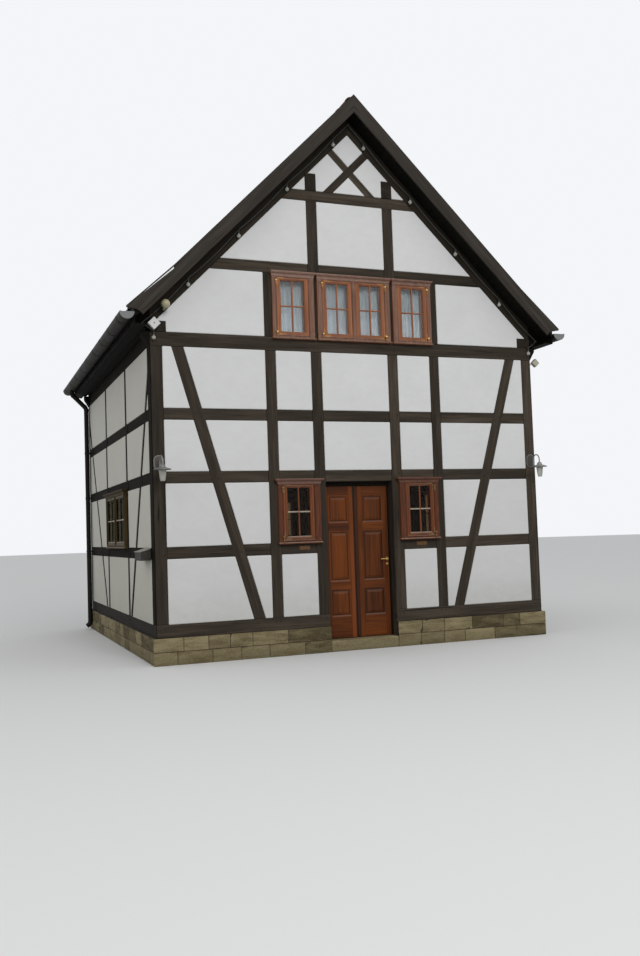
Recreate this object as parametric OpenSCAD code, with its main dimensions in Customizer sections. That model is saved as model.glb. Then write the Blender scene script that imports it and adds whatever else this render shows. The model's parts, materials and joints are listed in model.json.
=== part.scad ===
// Half timbered house with a steep gable roof, one room below and an attic above.
// X runs along the gable front, Y from front to rear, Z up from the ground.
// The origin is on the ground under the centre of the house.

/* [House] */
// Width over the corner posts of the gable front
house_w = 6200; // [6000:50:6400]
// Depth over the two gable walls
house_d = 6400; // [6200:50:6600]
// Depth of every wall timber, from the outer to the inner face
timber_d = 200; // [180:5:220]

/* [Levels] */
// Height of the stone plinth above the ground
plinth_h = 370; // [340:5:400]
// Height of the sill beam on the plinth
sill_h = 180; // [160:5:200]
// Underside of the lower rail, which carries the ground windows
lower_rail_z = 1445; // [1420:5:1470]
// Underside of the middle rail, which is the lintel of the door
middle_rail_z = 2491; // [2470:1:2510]
// Underside of the upper rail
upper_rail_z = 3380; // [3350:5:3410]
// Underside of the tie beam
tie_z = 4413; // [4400:1:4430]
// Underside of the gable rail above the attic windows
gable_rail_z = 5563; // [5555:1:5575]
// Underside of the collar beam
collar_z = 6691; // [6680:1:6700]
// Top of the threshold and of the ground floor
floor_z = 160; // [150:5:170]

/* [Timbers] */
// Width of the corner posts
corner_w = 177; // [170:1:185]
// Width of the outer posts, beside the ground windows
outer_w = 163; // [160:1:168]
// Width of the inner posts, beside the door
inner_w = 168; // [160:1:172]
// Distance of the outer posts from the middle of the house
outer_x = 1337; // [1330:1:1345]
// Distance of the inner posts from the middle of the house
inner_x = 625; // [620:1:630]
// Height of a rail
rail_h = 165; // [160:1:170]
// Height of a tie beam
tie_h = 202; // [195:1:210]
// Width of a wall brace, measured level
brace_w = 172; // [165:1:178]
// Width of the crossed braces in the gable top
cross_w = 112; // [105:1:118]
// Positions of the side wall posts behind the front face
side_posts = [2030, 4080];

/* [Roof] */
// Slope of the roof
pitch = 45; // [44.5:0.1:45.5]
// Height of a rafter, square to the slope
rafter_h = 180; // [170:5:190]
// Height of boards and battens together, square to the slope
deck_h = 105; // [95:5:110]
// Height of the tile layer, square to the slope
tile_h = 60; // [50:5:65]
// Distance from the middle of the house where the upper roof layers begin to flatten
kick_x = 2780; // [2740:10:2820]
// Rise of these layers over the straight slope at the rafter tails
kick_rise = 54; // [46:2:62]
// Overhang of the verge in front of the gable wall, with the bargeboard
verge = 320; // [300:5:340]
// Outer radius of the gutter
gutter_r = 100; // [95:1:105]

/* [Hidden] */

half_w = house_w / 2;
half_d = house_d / 2;
sill_top = plinth_h + sill_h;
tie_top = tie_z + tie_h;
eps = 1;

// Middle of each wall brace at the sill and at the tie beam
front_brace = [1612, 2708];
side_braces = [[1858, -40], [4330, house_d + 40]];

// Steps between the timber faces: posts stand proud of braces, and braces of rails
brace_back = 3;
rail_back = 6;
plaster_proud = 5;
infill_d = 150;

// Roof lines, as heights over the middle of the house
rafter_foot = 66;
apex_z = tie_top + rafter_foot + half_w * tan(pitch);
plate_w = 235;
plate_h = 148;
purlin_w = 172;
purlin_h = 259;
tail_x = 3355;
tail_z = 4660;
tile_x = 3385;
barge_t = 30;
barge_low = 160;
barge_high = 353;
ridge_r = 110;
ridge_z = 8172;
gutter_x = tail_x + gutter_r;
gutter_z = 4800;
gutter_t = 4;

// Ends of the tie beams, which stand out past the corner posts and carry the gable rafters
tie_end = 90;
tie_end_z = 4560;

// Plinth
plinth_out = 30;
plinth_d = 260;

// Attic floor
floor_board_t = 35;
floor_beam_h = 160;

// Door
door_half = inner_x - inner_w / 2;
jamb_w = 20;
head_h = 60;
door_gap = 6;
leaf_t = 45;
leaf_x0 = -door_half + jamb_w + door_gap;
leaf_x1 = door_half - jamb_w - door_gap - 4;
leaf_z0 = floor_z + 8;
leaf_z1 = middle_rail_z - head_h - 8;
door_face = timber_d - leaf_t;
pin_x = leaf_x0 - 3;
pin_out = 10;
pin_r = 7;
hinge_levels = [450, 1300, 2150];
groove_w = 36;
panel_sunk = 14;
panel_rows = [[480, 895], [1000, 1758], [1872, 2283]];
panel_cols = [[-417, -130], [130, 417]];

// Joinery: length, thickness and shoulder of a tenon
tenon_l = 60;
tenon_t = 50;
tenon_shoulder = 20;

// Windows. A casing stands on the wall face round the sashes, with a sill and a cornice
casing_out = 45;
frame_back = 55;
sash_out = 39;
bead_out = 31;
bead_w = 12;
sash_gap = 3;
sash_side = 64;
sash_top = 42;
sash_foot = 50;
glass_out = 20;
pane_t = 6;
cornice_h = 72;
cornice_out = 95;
cornice_step = 10;
sill_proud = 22;
window_sill_h = 25;
sill_over = 12;

// Cornice section, how far it stands out over its height: fillet, cove, fillet and top band
cove_r = 32;
cove_z = 14;
cornice_band_z = 58;
cornice_points = concat(
    [[casing_out + cornice_step, 0]],
    [for (a = [0 : 15 : 90])
        [casing_out + cornice_step + cove_r * (1 - cos(a)), cove_z + cove_r * sin(a)]],
    [[casing_out + cornice_step + cove_r, cornice_band_z], [cornice_out, cornice_band_z],
     [cornice_out, cornice_h]]
);

// Each window: left, right, bottom and top of the casing, then its panes as left and right edges
// with the bottom and top of the glass
ground_window = [646, 1297, 1615, 2462, [[811, 1158]], [1701, 2407]];
gable_side_window = [646, 1297, 4610, 5508, [[798, 1163]], [4694, 5451]];
gable_middle_window = [-592, 592, 4610, 5508, [[-443, -98], [98, 443]], [4694, 5451]];
side_wall_window = [side_posts[0] + 60, side_posts[1] - 60, 1615, 2462,
    [[side_posts[0] + 180, 2975], [3135, side_posts[1] - 180]], [1701, 2407]];

// Curtains behind the attic windows
curtain_rod_z = 5520;
curtain_rod_r = 8;
curtain_d0 = 80;
curtain_d1 = 130;
curtain_foot = 4640;
attic_bays = [[-outer_x + outer_w / 2, -inner_x - inner_w / 2], [-door_half, door_half],
              [inner_x + inner_w / 2, outer_x - outer_w / 2]];

// Downpipe
pipe_r = 44;
pipe_bend_r = 90;
pipe_slant = 45;
pipe_y = 2940;
pipe_x = half_w + plinth_out + pipe_r + 6;
pipe_foot = 150;
shoe_slant = 55;
shoe_l = 45;
pipe_top_z = gutter_z - gutter_r - 25;
pipe_clip_h = 34;
pipe_socket_h = 36;

// Outdoor lamps on the corner posts: distance from the wall, and the underside of the shade
lamp_out = 258;
lamp_z = 2664;
lamp_post_x = half_w - corner_w / 2;
shade_h = 80;
lamp_glass_h = 155;

// Light string under the front verge: bulbs hang from clips at even steps along the rafters
bulb_x0 = 250;
bulb_step = 763;
bulb_count = 4;
clip_up = 100;
cable_r = 5;
cable_out = 45;
cable_sag = 34;
cable_steps = 6;
socket_r = 13;
socket_l = 48;
bulb_r = 29;
ring_sides = 8;
short_sag = 6;
corner_bulb = [3045, 4610];
cable_turn = on_rafter(3200, clip_up);
bulb_places = concat([for (k = [0 : bulb_count - 1]) on_rafter(bulb_x0 + k * bulb_step, clip_up)],
    [corner_bulb]);
cable_half = concat([on_rafter(0, clip_up)], [for (k = [0 : bulb_count - 1]) bulb_places[k]],
    [cable_turn, corner_bulb]);
cable_right = concat(
    [for (k = [0 : len(cable_half) - 2], i = [0 : cable_steps - 1])
        swag(cable_half[k], cable_half[k + 1], i / cable_steps,
            k == 0 || k > bulb_count ? short_sag : cable_sag)],
    [corner_bulb]);
cable_line = concat(
    [for (k = [len(cable_right) - 1 : -1 : 1]) [-cable_right[k][0], cable_right[k][1]]],
    cable_right);

timber_brown = [0.23, 0.19, 0.17];
window_brown = [0.50, 0.31, 0.20];
door_brown = [0.33, 0.15, 0.08];
plaster_white = [0.86, 0.86, 0.84];
sandstone = [0.58, 0.52, 0.40];
tile_red = [0.52, 0.24, 0.17];
barge_brown = [0.24, 0.22, 0.20];
metal_brown = [0.20, 0.17, 0.15];
zinc_grey = [0.55, 0.56, 0.56];
cream = [0.80, 0.78, 0.66];

// Height of a roof line over the point x, where up is square to the slope from the rafter's underside
function roof_z(x, up) = apex_z - abs(x) * tan(pitch) + up / cos(pitch);
function on_rafter(x, up) = [x, roof_z(x, up)];
// Height of the upper roof layers, which rise over the straight slope towards the eaves
function lift(x) = max(0, abs(x) - kick_x) * kick_rise / (tail_x - kick_x);
function top_z(x, up) = roof_z(x, up) + lift(x);
// Point of a cable that hangs from a to b, at the share t of the way
function swag(a, b, t, sag) = a + (b - a) * t - [0, 4 * sag * t * (1 - t)];

// Places wall parts drawn with X along the wall, Y from its outer face inwards and Z up
module on_front() {
    translate([0, -half_d, 0]) children();
}
module on_rear() {
    rotate([0, 0, 180]) on_front() children();
}
module on_left() {
    translate([-half_w, -half_d, 0]) mirror([1, -1, 0]) children();
}
module on_right() {
    mirror([1, 0, 0]) on_left() children();
}

// Turns a drawing of X and Z into a slab between two depths of the wall
module slab(d0, d1) {
    translate([0, d1, 0]) rotate([90, 0, 0]) linear_extrude(d1 - d0) children();
}
module box_2d(x0, x1, z0, z1) {
    translate([x0, z0]) square([x1 - x0, z1 - z0]);
}
module post_2d(x, w, z0, z1) {
    box_2d(x - w / 2, x + w / 2, z0, z1);
}
module rail_2d(x0, x1, z, h = rail_h) {
    box_2d(x0, x1, z, z + h);
}
module brace_2d(ends) {
    foot = ends[0];
    head = ends[1];
    polygon([[foot - brace_w / 2, sill_top], [foot + brace_w / 2, sill_top],
             [head + brace_w / 2, tie_z], [head - brace_w / 2, tie_z]]);
}
// Roof layer from the middle of the house to the point x, between two heights over the rafter
module layer_2d(x, up0, up1) {
    polygon([
        [0, top_z(0, up0)], [kick_x, top_z(kick_x, up0)], [x, top_z(x, up0)],
        [x, top_z(x, up1)], [kick_x, top_z(kick_x, up1)], [0, top_z(0, up1)]
    ]);
}
module both_sides_2d() {
    children();
    mirror([1, 0]) children();
}

// Wall frames as drawings: posts, braces and rails lie in steps of their own
module half_front_posts_2d() {
    post_2d(half_w - corner_w / 2, corner_w, sill_top, tie_z);
    post_2d(outer_x, outer_w, sill_top, tie_z);
    post_2d(inner_x, inner_w, sill_top, tie_z);
}
module half_front_brace_2d() {
    brace_2d(front_brace);
}
module half_front_rails_2d() {
    for (z = [lower_rail_z, middle_rail_z, upper_rail_z])
        rail_2d(door_half, half_w, z);
}
module half_front_sill_2d() {
    rail_2d(door_half, half_w, plinth_h, sill_h);
}
module half_front_field_2d() {
    box_2d(door_half, half_w, sill_top, tie_z);
}
module ground_window_hole_2d() {
    box_2d(door_half, outer_x, lower_rail_z + rail_h, middle_rail_z);
}
module over_door_rails_2d() {
    for (z = [middle_rail_z, upper_rail_z])
        rail_2d(-door_half, door_half, z);
}

// Joinery: tenons on the ends of rails and posts, with mortises of the same size
module rail_tenons() {
    for (z = [middle_rail_z, upper_rail_z])
        for (side = [-1, 1])
            translate([side * (door_half + tenon_l / 2), timber_d / 2, z + rail_h / 2])
                cube([tenon_l, tenon_t, rail_h - 2 * tenon_shoulder], center = true);
}
module post_tenon(x, w, z) {
    translate([x, timber_d / 2, z + tenon_l / 2])
        cube([w - 2 * tenon_shoulder, tenon_t, tenon_l], center = true);
}
module half_wall_tenons() {
    post_tenon(half_w - corner_w / 2, corner_w, tie_z);
    post_tenon(outer_x, outer_w, tie_z);
    post_tenon(inner_x, inner_w, tie_z);
}
module half_gable_tenons() {
    post_tenon(outer_x, outer_w, tie_top - tenon_l);
    post_tenon(inner_x, inner_w, tie_top - tenon_l);
}

module half_front_frame() {
    difference() {
        union() {
            slab(0, timber_d) half_front_posts_2d();
            slab(brace_back, timber_d) half_front_brace_2d();
            slab(rail_back, timber_d) half_front_rails_2d();
            slab(0, timber_d) half_front_sill_2d();
            half_wall_tenons();
        }
        rail_tenons();
    }
}
module half_front_infill() {
    slab(-plaster_proud, infill_d) difference() {
        half_front_field_2d();
        half_front_posts_2d();
        half_front_brace_2d();
        half_front_rails_2d();
        ground_window_hole_2d();
    }
}

// Gable frame, above the tie beam
module purlin_ends_2d() {
    both_sides_2d() {
        box_2d(half_w - plate_w, half_w, tie_top, tie_top + plate_h);
        box_2d(door_half, door_half + purlin_w, collar_z + rail_h, collar_z + rail_h + purlin_h);
    }
}
module under_roof_2d(up) {
    polygon([[-half_w, 0], [half_w, 0], [half_w, roof_z(half_w, up)], [0, roof_z(0, up)],
             [-half_w, roof_z(half_w, up)]]);
}
// Rafter with a straight underside, cut level at its tail
module rafter_2d() {
    difference() {
        intersection() {
            polygon([
                [0, roof_z(0, 0)], [tail_x, roof_z(tail_x, 0)], [tail_x, top_z(tail_x, rafter_h)],
                [kick_x, top_z(kick_x, rafter_h)], [0, top_z(0, rafter_h)]
            ]);
            box_2d(0, tail_x, tail_z, apex_z + 2 * rafter_h);
        }
        purlin_ends_2d();
    }
}
// Foot of a gable rafter on the end of the tie beam
module rafter_foot_2d() {
    end_x = half_w + tie_end;
    polygon([
        [half_w + rafter_foot, tie_top], [end_x, tie_top], [end_x, tail_z + eps],
        [half_w + rafter_foot - (tail_z + eps - tie_top), tail_z + eps]
    ]);
}
module gable_posts_2d() {
    both_sides_2d() {
        post_2d(inner_x, inner_w, tie_top, collar_z);
        post_2d(outer_x, outer_w, tie_top, gable_rail_z);
    }
}
module gable_rails_2d() {
    intersection() {
        union() {
            rail_2d(-half_w, half_w, gable_rail_z);
            rail_2d(-half_w, half_w, collar_z);
        }
        under_roof_2d(0);
    }
}
module gable_cross_2d() {
    cross_z = 7200;
    intersection() {
        translate([0, cross_z]) for (turn = [-45, 45])
            rotate(turn) square([2 * half_w, cross_w], center = true);
        under_roof_2d(0);
        box_2d(-half_w, half_w, collar_z + rail_h - eps, apex_z);
    }
}
module gable_windows_hole_2d() {
    box_2d(-outer_x, outer_x, tie_top, gable_rail_z);
}
module gable_frame(tenoned = true) {
    slab(0, timber_d) gable_posts_2d();
    slab(0, timber_d) both_sides_2d() {
        rafter_2d();
        rafter_foot_2d();
    }
    slab(rail_back, timber_d) gable_rails_2d();
    slab(brace_back, timber_d) gable_cross_2d();
    if (tenoned)
        for (side = [0, 1])
            mirror([side, 0, 0]) half_gable_tenons();
}
module gable_infill() {
    slab(-plaster_proud, infill_d) difference() {
        intersection() {
            under_roof_2d(0);
            box_2d(-half_w, half_w, tie_top, apex_z);
        }
        purlin_ends_2d();
        gable_posts_2d();
        gable_rails_2d();
        gable_cross_2d();
        gable_windows_hole_2d();
    }
}
module tie_beam_2d() {
    end_x = half_w + tie_end;
    polygon([
        [-half_w, tie_z], [half_w, tie_z], [end_x, tie_end_z], [end_x, tie_top],
        [-end_x, tie_top], [-end_x, tie_end_z]
    ]);
}
module tie_beam() {
    difference() {
        slab(0, timber_d) tie_beam_2d();
        for (side = [0, 1])
            mirror([side, 0, 0]) {
                half_wall_tenons();
                half_gable_tenons();
            }
    }
}

// Side wall, between the corner posts of the two gable walls
module side_posts_2d() {
    for (u = side_posts)
        post_2d(u, outer_w, sill_top, tie_z);
}
module side_braces_2d() {
    intersection() {
        box_2d(timber_d, house_d - timber_d, sill_top, tie_z);
        for (ends = side_braces)
            brace_2d(ends);
    }
}
module side_rails_2d() {
    for (z = [lower_rail_z, middle_rail_z, upper_rail_z])
        rail_2d(timber_d, house_d - timber_d, z);
}
module side_window_hole_2d() {
    box_2d(side_posts[0], side_posts[1], lower_rail_z + rail_h, middle_rail_z);
}
module side_frame() {
    slab(0, timber_d) side_posts_2d();
    slab(brace_back, timber_d) side_braces_2d();
    slab(rail_back, timber_d) side_rails_2d();
    slab(0, timber_d) rail_2d(timber_d, house_d - timber_d, plinth_h, sill_h);
    slab(0, timber_d) rail_2d(timber_d, house_d - timber_d, tie_z, tie_h);
}
module side_infill() {
    slab(-plaster_proud, infill_d) difference() {
        box_2d(timber_d, house_d - timber_d, sill_top, tie_z);
        side_posts_2d();
        side_braces_2d();
        side_rails_2d();
        side_window_hole_2d();
    }
}

// Rear wall: the front's frame with the door bay closed by the rails
module rear_rails_2d() {
    for (z = [lower_rail_z, middle_rail_z, upper_rail_z])
        rail_2d(-half_w, half_w, z);
}
module rear_posts_2d() {
    both_sides_2d() half_front_posts_2d();
}
module rear_wall_frame() {
    slab(0, timber_d) rear_posts_2d();
    slab(brace_back, timber_d) both_sides_2d() half_front_brace_2d();
    slab(rail_back, timber_d) rear_rails_2d();
    slab(0, timber_d) rail_2d(-half_w, half_w, plinth_h, sill_h);
    slab(0, timber_d) tie_beam_2d();
}
module rear_wall_infill() {
    slab(-plaster_proud, infill_d) difference() {
        box_2d(-half_w, half_w, sill_top, tie_z);
        rear_posts_2d();
        both_sides_2d() half_front_brace_2d();
        rear_rails_2d();
        both_sides_2d() ground_window_hole_2d();
    }
    gable_infill();
}

// Windows, in the coordinates of their wall
module panes_2d(w, more = 0) {
    for (pane = w[4])
        box_2d(pane[0] - more, pane[1] + more, w[5][0] - more, w[5][1] + more);
}
module sashes_2d(w, less = 0) {
    for (pane = w[4])
        box_2d(pane[0] - sash_side + less, pane[1] + sash_side - less,
            w[5][0] - sash_foot + less, w[5][1] + sash_top - less);
}
module casing_2d(w) {
    box_2d(w[0], w[1], w[2], w[3]);
}
module cornice(w, side_share) {
    left = [for (p = cornice_points) [w[0] - side_share * (p[0] - casing_out), w[3] + p[1]]];
    right = [for (k = [len(cornice_points) - 1 : -1 : 0])
        [w[1] + side_share * (cornice_points[k][0] - casing_out), w[3] + cornice_points[k][1]]];
    intersection() {
        translate([w[0] - cornice_out, 0, w[3]]) rotate([90, 0, 90]) mirror([1, 0, 0])
            linear_extrude(w[1] - w[0] + 2 * cornice_out)
                polygon(concat([[0, 0]], cornice_points, [[0, cornice_h]]));
        slab(-2 * cornice_out, 0) polygon(concat(left, right));
    }
}
module window_sill(w) {
    drip = 8;
    translate([w[0] - sill_over, 0, w[2]]) rotate([90, 0, 90]) mirror([1, 0, 0])
        linear_extrude(w[1] - w[0] + 2 * sill_over)
            polygon([[0, -window_sill_h], [casing_out + sill_proud, -window_sill_h],
                     [casing_out + sill_proud, -drip], [casing_out - eps, 0], [0, 0]]);
}
module window_unit(w, hole, side_share = 1) {
    slab(-casing_out, 0) difference() {
        casing_2d(w);
        sashes_2d(w);
    }
    slab(-sash_out, 0) difference() {
        sashes_2d(w, sash_gap);
        panes_2d(w, bead_w);
    }
    slab(-bead_out, 0) difference() {
        panes_2d(w, bead_w);
        panes_2d(w);
    }
    slab(0, frame_back) intersection() {
        difference() {
            casing_2d(w);
            panes_2d(w);
        }
        box_2d(hole[0], hole[1], hole[2], hole[3]);
    }
    slab(-glass_out, 0) difference() {
        sashes_2d(w);
        panes_2d(w);
    }
    cornice(w, side_share);
    window_sill(w);
}
module window_panes(w) {
    slab(-glass_out, pane_t - glass_out) panes_2d(w);
}
module ground_window_unit() {
    window_unit(ground_window,
        [door_half + inner_w, outer_x - outer_w / 2, lower_rail_z + rail_h, middle_rail_z]);
}
module gable_window_units() {
    for (side = [0, 1])
        mirror([side, 0, 0]) window_unit(gable_side_window,
            [door_half + inner_w, outer_x - outer_w / 2, tie_top, gable_rail_z], 0.5);
    window_unit(gable_middle_window, [-door_half, door_half, tie_top, gable_rail_z], 0.5);
}
module side_window_unit() {
    window_unit(side_wall_window,
        [side_posts[0] + outer_w / 2, side_posts[1] - outer_w / 2,
         lower_rail_z + rail_h, middle_rail_z]);
}
module gable_wall_panes() {
    for (side = [0, 1])
        mirror([side, 0, 0]) {
            window_panes(ground_window);
            window_panes(gable_side_window);
        }
    window_panes(gable_middle_window);
}

// Stone plinth and floors
module plinth_block(x0, x1, y0, y1) {
    color(sandstone) translate([x0, y0, 0]) cube([x1 - x0, y1 - y0, plinth_h]);
}
module plinth_front_left() {
    plinth_block(-half_w - plinth_out, -door_half, -half_d - plinth_out,
        -half_d - plinth_out + plinth_d);
}
module plinth_front_right() {
    mirror([1, 0, 0]) plinth_front_left();
}
module plinth_sides() {
    for (side = [0, 1])
        mirror([side, 0, 0])
            plinth_block(-half_w - plinth_out, -half_w - plinth_out + plinth_d,
                -half_d - plinth_out + plinth_d, half_d + plinth_out - plinth_d);
}
module plinth_rear() {
    plinth_block(-half_w - plinth_out, half_w + plinth_out,
        half_d + plinth_out - plinth_d, half_d + plinth_out);
}
module door_step() {
    color(sandstone) translate([-door_half, -half_d - plinth_out, 0])
        cube([2 * door_half, plinth_d, floor_z]);
}
module ground_floor() {
    inner_w2 = house_w + 2 * plinth_out - 2 * plinth_d;
    inner_d2 = house_d + 2 * plinth_out - 2 * plinth_d;
    color([0.45, 0.40, 0.36]) translate([-inner_w2 / 2, -inner_d2 / 2, 0])
        cube([inner_w2, inner_d2, floor_z]);
}
module attic_floor() {
    color([0.42, 0.33, 0.25])
        translate([-half_w + timber_d, -half_d + timber_d, tie_top - floor_board_t])
            cube([house_w - 2 * timber_d, house_d - 2 * timber_d, floor_board_t]);
}
module attic_beams() {
    color(timber_brown) for (u = side_posts)
        translate([-half_w + timber_d, -half_d + u - outer_w / 2,
                   tie_top - floor_board_t - floor_beam_h])
            cube([house_w - 2 * timber_d, outer_w, floor_beam_h]);
}

// Front wall
module front_frame_right() {
    color(timber_brown) on_front() half_front_frame();
}
module front_frame_left() {
    color(timber_brown) on_front() mirror([1, 0, 0]) half_front_frame();
}
module front_frame_over_door() {
    color(timber_brown) on_front() {
        slab(rail_back, timber_d) over_door_rails_2d();
        rail_tenons();
    }
}
module front_tie_beam() {
    color(timber_brown) on_front() tie_beam();
}
module front_gable_frame() {
    color(timber_brown) on_front() gable_frame();
}
module front_infill() {
    color(plaster_white) on_front() {
        for (side = [0, 1])
            mirror([side, 0, 0]) half_front_infill();
        slab(-plaster_proud, infill_d) difference() {
            box_2d(-door_half, door_half, middle_rail_z + rail_h, tie_z);
            over_door_rails_2d();
        }
    }
}
module front_gable_infill() {
    color(plaster_white) on_front() gable_infill();
}

// Rear and side walls
module rear_frame() {
    color(timber_brown) on_rear() rear_wall_frame();
}
module rear_gable_frame() {
    color(timber_brown) on_rear() gable_frame(false);
}
module rear_infill() {
    color(plaster_white) on_rear() rear_wall_infill();
}
module left_frame() {
    color(timber_brown) on_left() side_frame();
}
module left_infill() {
    color(plaster_white) on_left() side_infill();
}
module right_frame() {
    color(timber_brown) on_right() side_frame();
}
module right_infill() {
    color(plaster_white) on_right() side_infill();
}

// Roof
module purlins() {
    color(timber_brown) on_front() slab(0, house_d) purlin_ends_2d();
}
module rafters_right() {
    rafter_w = 120;
    rafter_count = 6;
    inner_d = house_d - 2 * timber_d;
    color(timber_brown) for (k = [1 : rafter_count])
        translate([0, -inner_d / 2 + k * inner_d / (rafter_count + 1) - rafter_w / 2, 0])
            slab(0, rafter_w) rafter_2d();
}
module rafters_left() {
    mirror([1, 0, 0]) rafters_right();
}
module roof_deck_right() {
    color(barge_brown) translate([0, -half_d - verge + barge_t, 0])
        slab(0, house_d + 2 * (verge - barge_t)) layer_2d(tail_x, rafter_h, rafter_h + deck_h);
}
module roof_deck_left() {
    mirror([1, 0, 0]) roof_deck_right();
}
module tiles_right() {
    batten_up = rafter_h + deck_h;
    color(tile_red) translate([0, -half_d - verge + barge_t, 0])
        slab(0, house_d + 2 * (verge - barge_t)) layer_2d(tile_x, batten_up, batten_up + tile_h);
}
module tiles_left() {
    mirror([1, 0, 0]) tiles_right();
}
module ridge_tiles() {
    ridge_gap = 100;
    roof_up = rafter_h + deck_h + tile_h;
    color(tile_red) translate([0, -half_d - verge + ridge_gap, 0])
        slab(0, house_d + 2 * (verge - ridge_gap)) difference() {
            union() {
                translate([0, ridge_z]) circle(r = ridge_r, $fn = 64);
                box_2d(-ridge_r, ridge_r, ridge_z - ridge_r, ridge_z);
            }
            under_roof_2d(roof_up);
        }
}
// Bargeboards, with the lower end cut round over the gutter
module bargeboard_pair() {
    cut_x = 3238;
    cut_r = 160;
    cut_turn = 148;
    cut_step = 11.6;
    end_x = 3460;
    end_h = 24;
    cut_centre = [cut_x, roof_z(cut_x, barge_low)] - cut_r * [cos(cut_turn), sin(cut_turn)];
    color(barge_brown) slab(0, barge_t) both_sides_2d()
        polygon(concat(
            [[0, roof_z(0, barge_low)]],
            [for (k = [0 : 5]) let(a = cut_turn - k * cut_step) cut_centre + cut_r * [cos(a), sin(a)]],
            [[end_x, top_z(end_x, barge_high) - end_h], [end_x, top_z(end_x, barge_high)],
             [kick_x, top_z(kick_x, barge_high)], [0, top_z(0, barge_high)]]
        ));
}
module bargeboards_front() {
    translate([0, -half_d - verge, 0]) bargeboard_pair();
}
module bargeboards_rear() {
    rotate([0, 0, 180]) bargeboards_front();
}

// Rainwater goods
module along_eaves(x, z, l, r) {
    translate([x, l / 2, z]) rotate([90, 0, 0]) cylinder(r = r, h = l, $fn = 64);
}
module gutter_strap(y) {
    strap_w = 30;
    strap_t = 4;
    fixing_h = 50;
    fixing_w = 14;
    translate([0, y, 0]) {
        difference() {
            along_eaves(gutter_x, gutter_z, strap_w, gutter_r + strap_t);
            along_eaves(gutter_x, gutter_z, 2 * strap_w, gutter_r - gutter_t / 2);
            translate([gutter_x - 2 * gutter_r, -strap_w, gutter_z])
                cube([4 * gutter_r, 2 * strap_w, 2 * gutter_r]);
            translate([tail_x - gutter_r, -strap_w, gutter_z - 2 * gutter_r])
                cube([gutter_r, 2 * strap_w, 3 * gutter_r]);
        }
        translate([tail_x, -strap_w / 2, gutter_z - 60]) cube([fixing_w, strap_w, fixing_h]);
    }
}
module gutter_right() {
    run = house_d + 2 * verge + 20;
    bracket_count = 9;
    bead_r = 9;
    color(metal_brown) {
        difference() {
            along_eaves(gutter_x, gutter_z, run, gutter_r);
            along_eaves(gutter_x, gutter_z, run - 2 * gutter_t, gutter_r - gutter_t);
            translate([gutter_x - 2 * gutter_r, -run, gutter_z])
                cube([4 * gutter_r, 2 * run, 2 * gutter_r]);
        }
        along_eaves(gutter_x + gutter_r - bead_r, gutter_z - 2, run, bead_r);
        for (k = [0 : bracket_count - 1])
            gutter_strap(-half_d + k * house_d / (bracket_count - 1));
    }
}
module gutter_left() {
    mirror([1, 0, 0]) gutter_right();
}
module rod(p, q, r) {
    d = q - p;
    len = norm(d);
    translate(p) rotate([0, acos(d[2] / len), atan2(d[1], d[0])]) cylinder(r = r, h = len, $fn = 32);
}
// A bend of round pipe that starts at the origin, runs down and turns towards -X
module pipe_bend(r, bend_r, angle) {
    translate([-bend_r, 0, 0]) mirror([0, 0, 1]) rotate([90, 0, 0])
        rotate_extrude(angle = angle, $fn = 96) translate([bend_r, 0]) circle(r = r, $fn = 32);
}
module downpipe_right() {
    shift_x = pipe_bend_r * (1 - cos(pipe_slant));
    shift_z = pipe_bend_r * sin(pipe_slant);
    slant_l = (gutter_x - pipe_x - 2 * shift_x) / sin(pipe_slant);
    upper = [gutter_x, pipe_y, pipe_top_z];
    upper_end = upper - [shift_x, 0, shift_z];
    lower_start = upper_end - slant_l * [sin(pipe_slant), 0, cos(pipe_slant)];
    lower = lower_start - [shift_x, 0, shift_z];
    foot = [pipe_x, pipe_y, pipe_foot];
    shoe_r = 70;
    shoe_end = foot + [shoe_r * (1 - cos(shoe_slant)), 0, -shoe_r * sin(shoe_slant)];
    difference() {
        rod([gutter_x, pipe_y, gutter_z - gutter_r + 20], upper, pipe_r);
        along_eaves(gutter_x, gutter_z, house_d, gutter_r);
    }
    translate(upper) pipe_bend(pipe_r, pipe_bend_r, pipe_slant);
    rod(upper_end, lower_start, pipe_r);
    translate(lower) rotate([0, 180, 0]) pipe_bend(pipe_r, pipe_bend_r, pipe_slant);
    rod(lower, foot, pipe_r);
    translate(foot) mirror([1, 0, 0]) pipe_bend(pipe_r, shoe_r, shoe_slant);
    rod(shoe_end, shoe_end + shoe_l * [sin(shoe_slant), 0, -cos(shoe_slant)], pipe_r);
    for (socket = [[upper, 0], [upper_end, pipe_slant], [lower_start, pipe_slant], [lower, 0],
                   [foot, 0], [shoe_end, -shoe_slant]])
        translate(socket[0]) rotate([0, socket[1], 0])
            cylinder(r = pipe_r + 3, h = pipe_socket_h, center = true, $fn = 32);
    for (z = [lower_rail_z, middle_rail_z, upper_rail_z])
        translate([0, pipe_y, z + (rail_h - pipe_clip_h) / 2]) {
            translate([pipe_x, 0, 0]) cylinder(r = pipe_r + 5, h = pipe_clip_h, $fn = 32);
            translate([half_w - rail_back, -10, 5])
                cube([pipe_x - half_w, 20, pipe_clip_h - 10]);
        }
}
module downpipes() {
    color(metal_brown) for (side = [0, 1])
        mirror([side, 0, 0]) downpipe_right();
}

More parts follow.
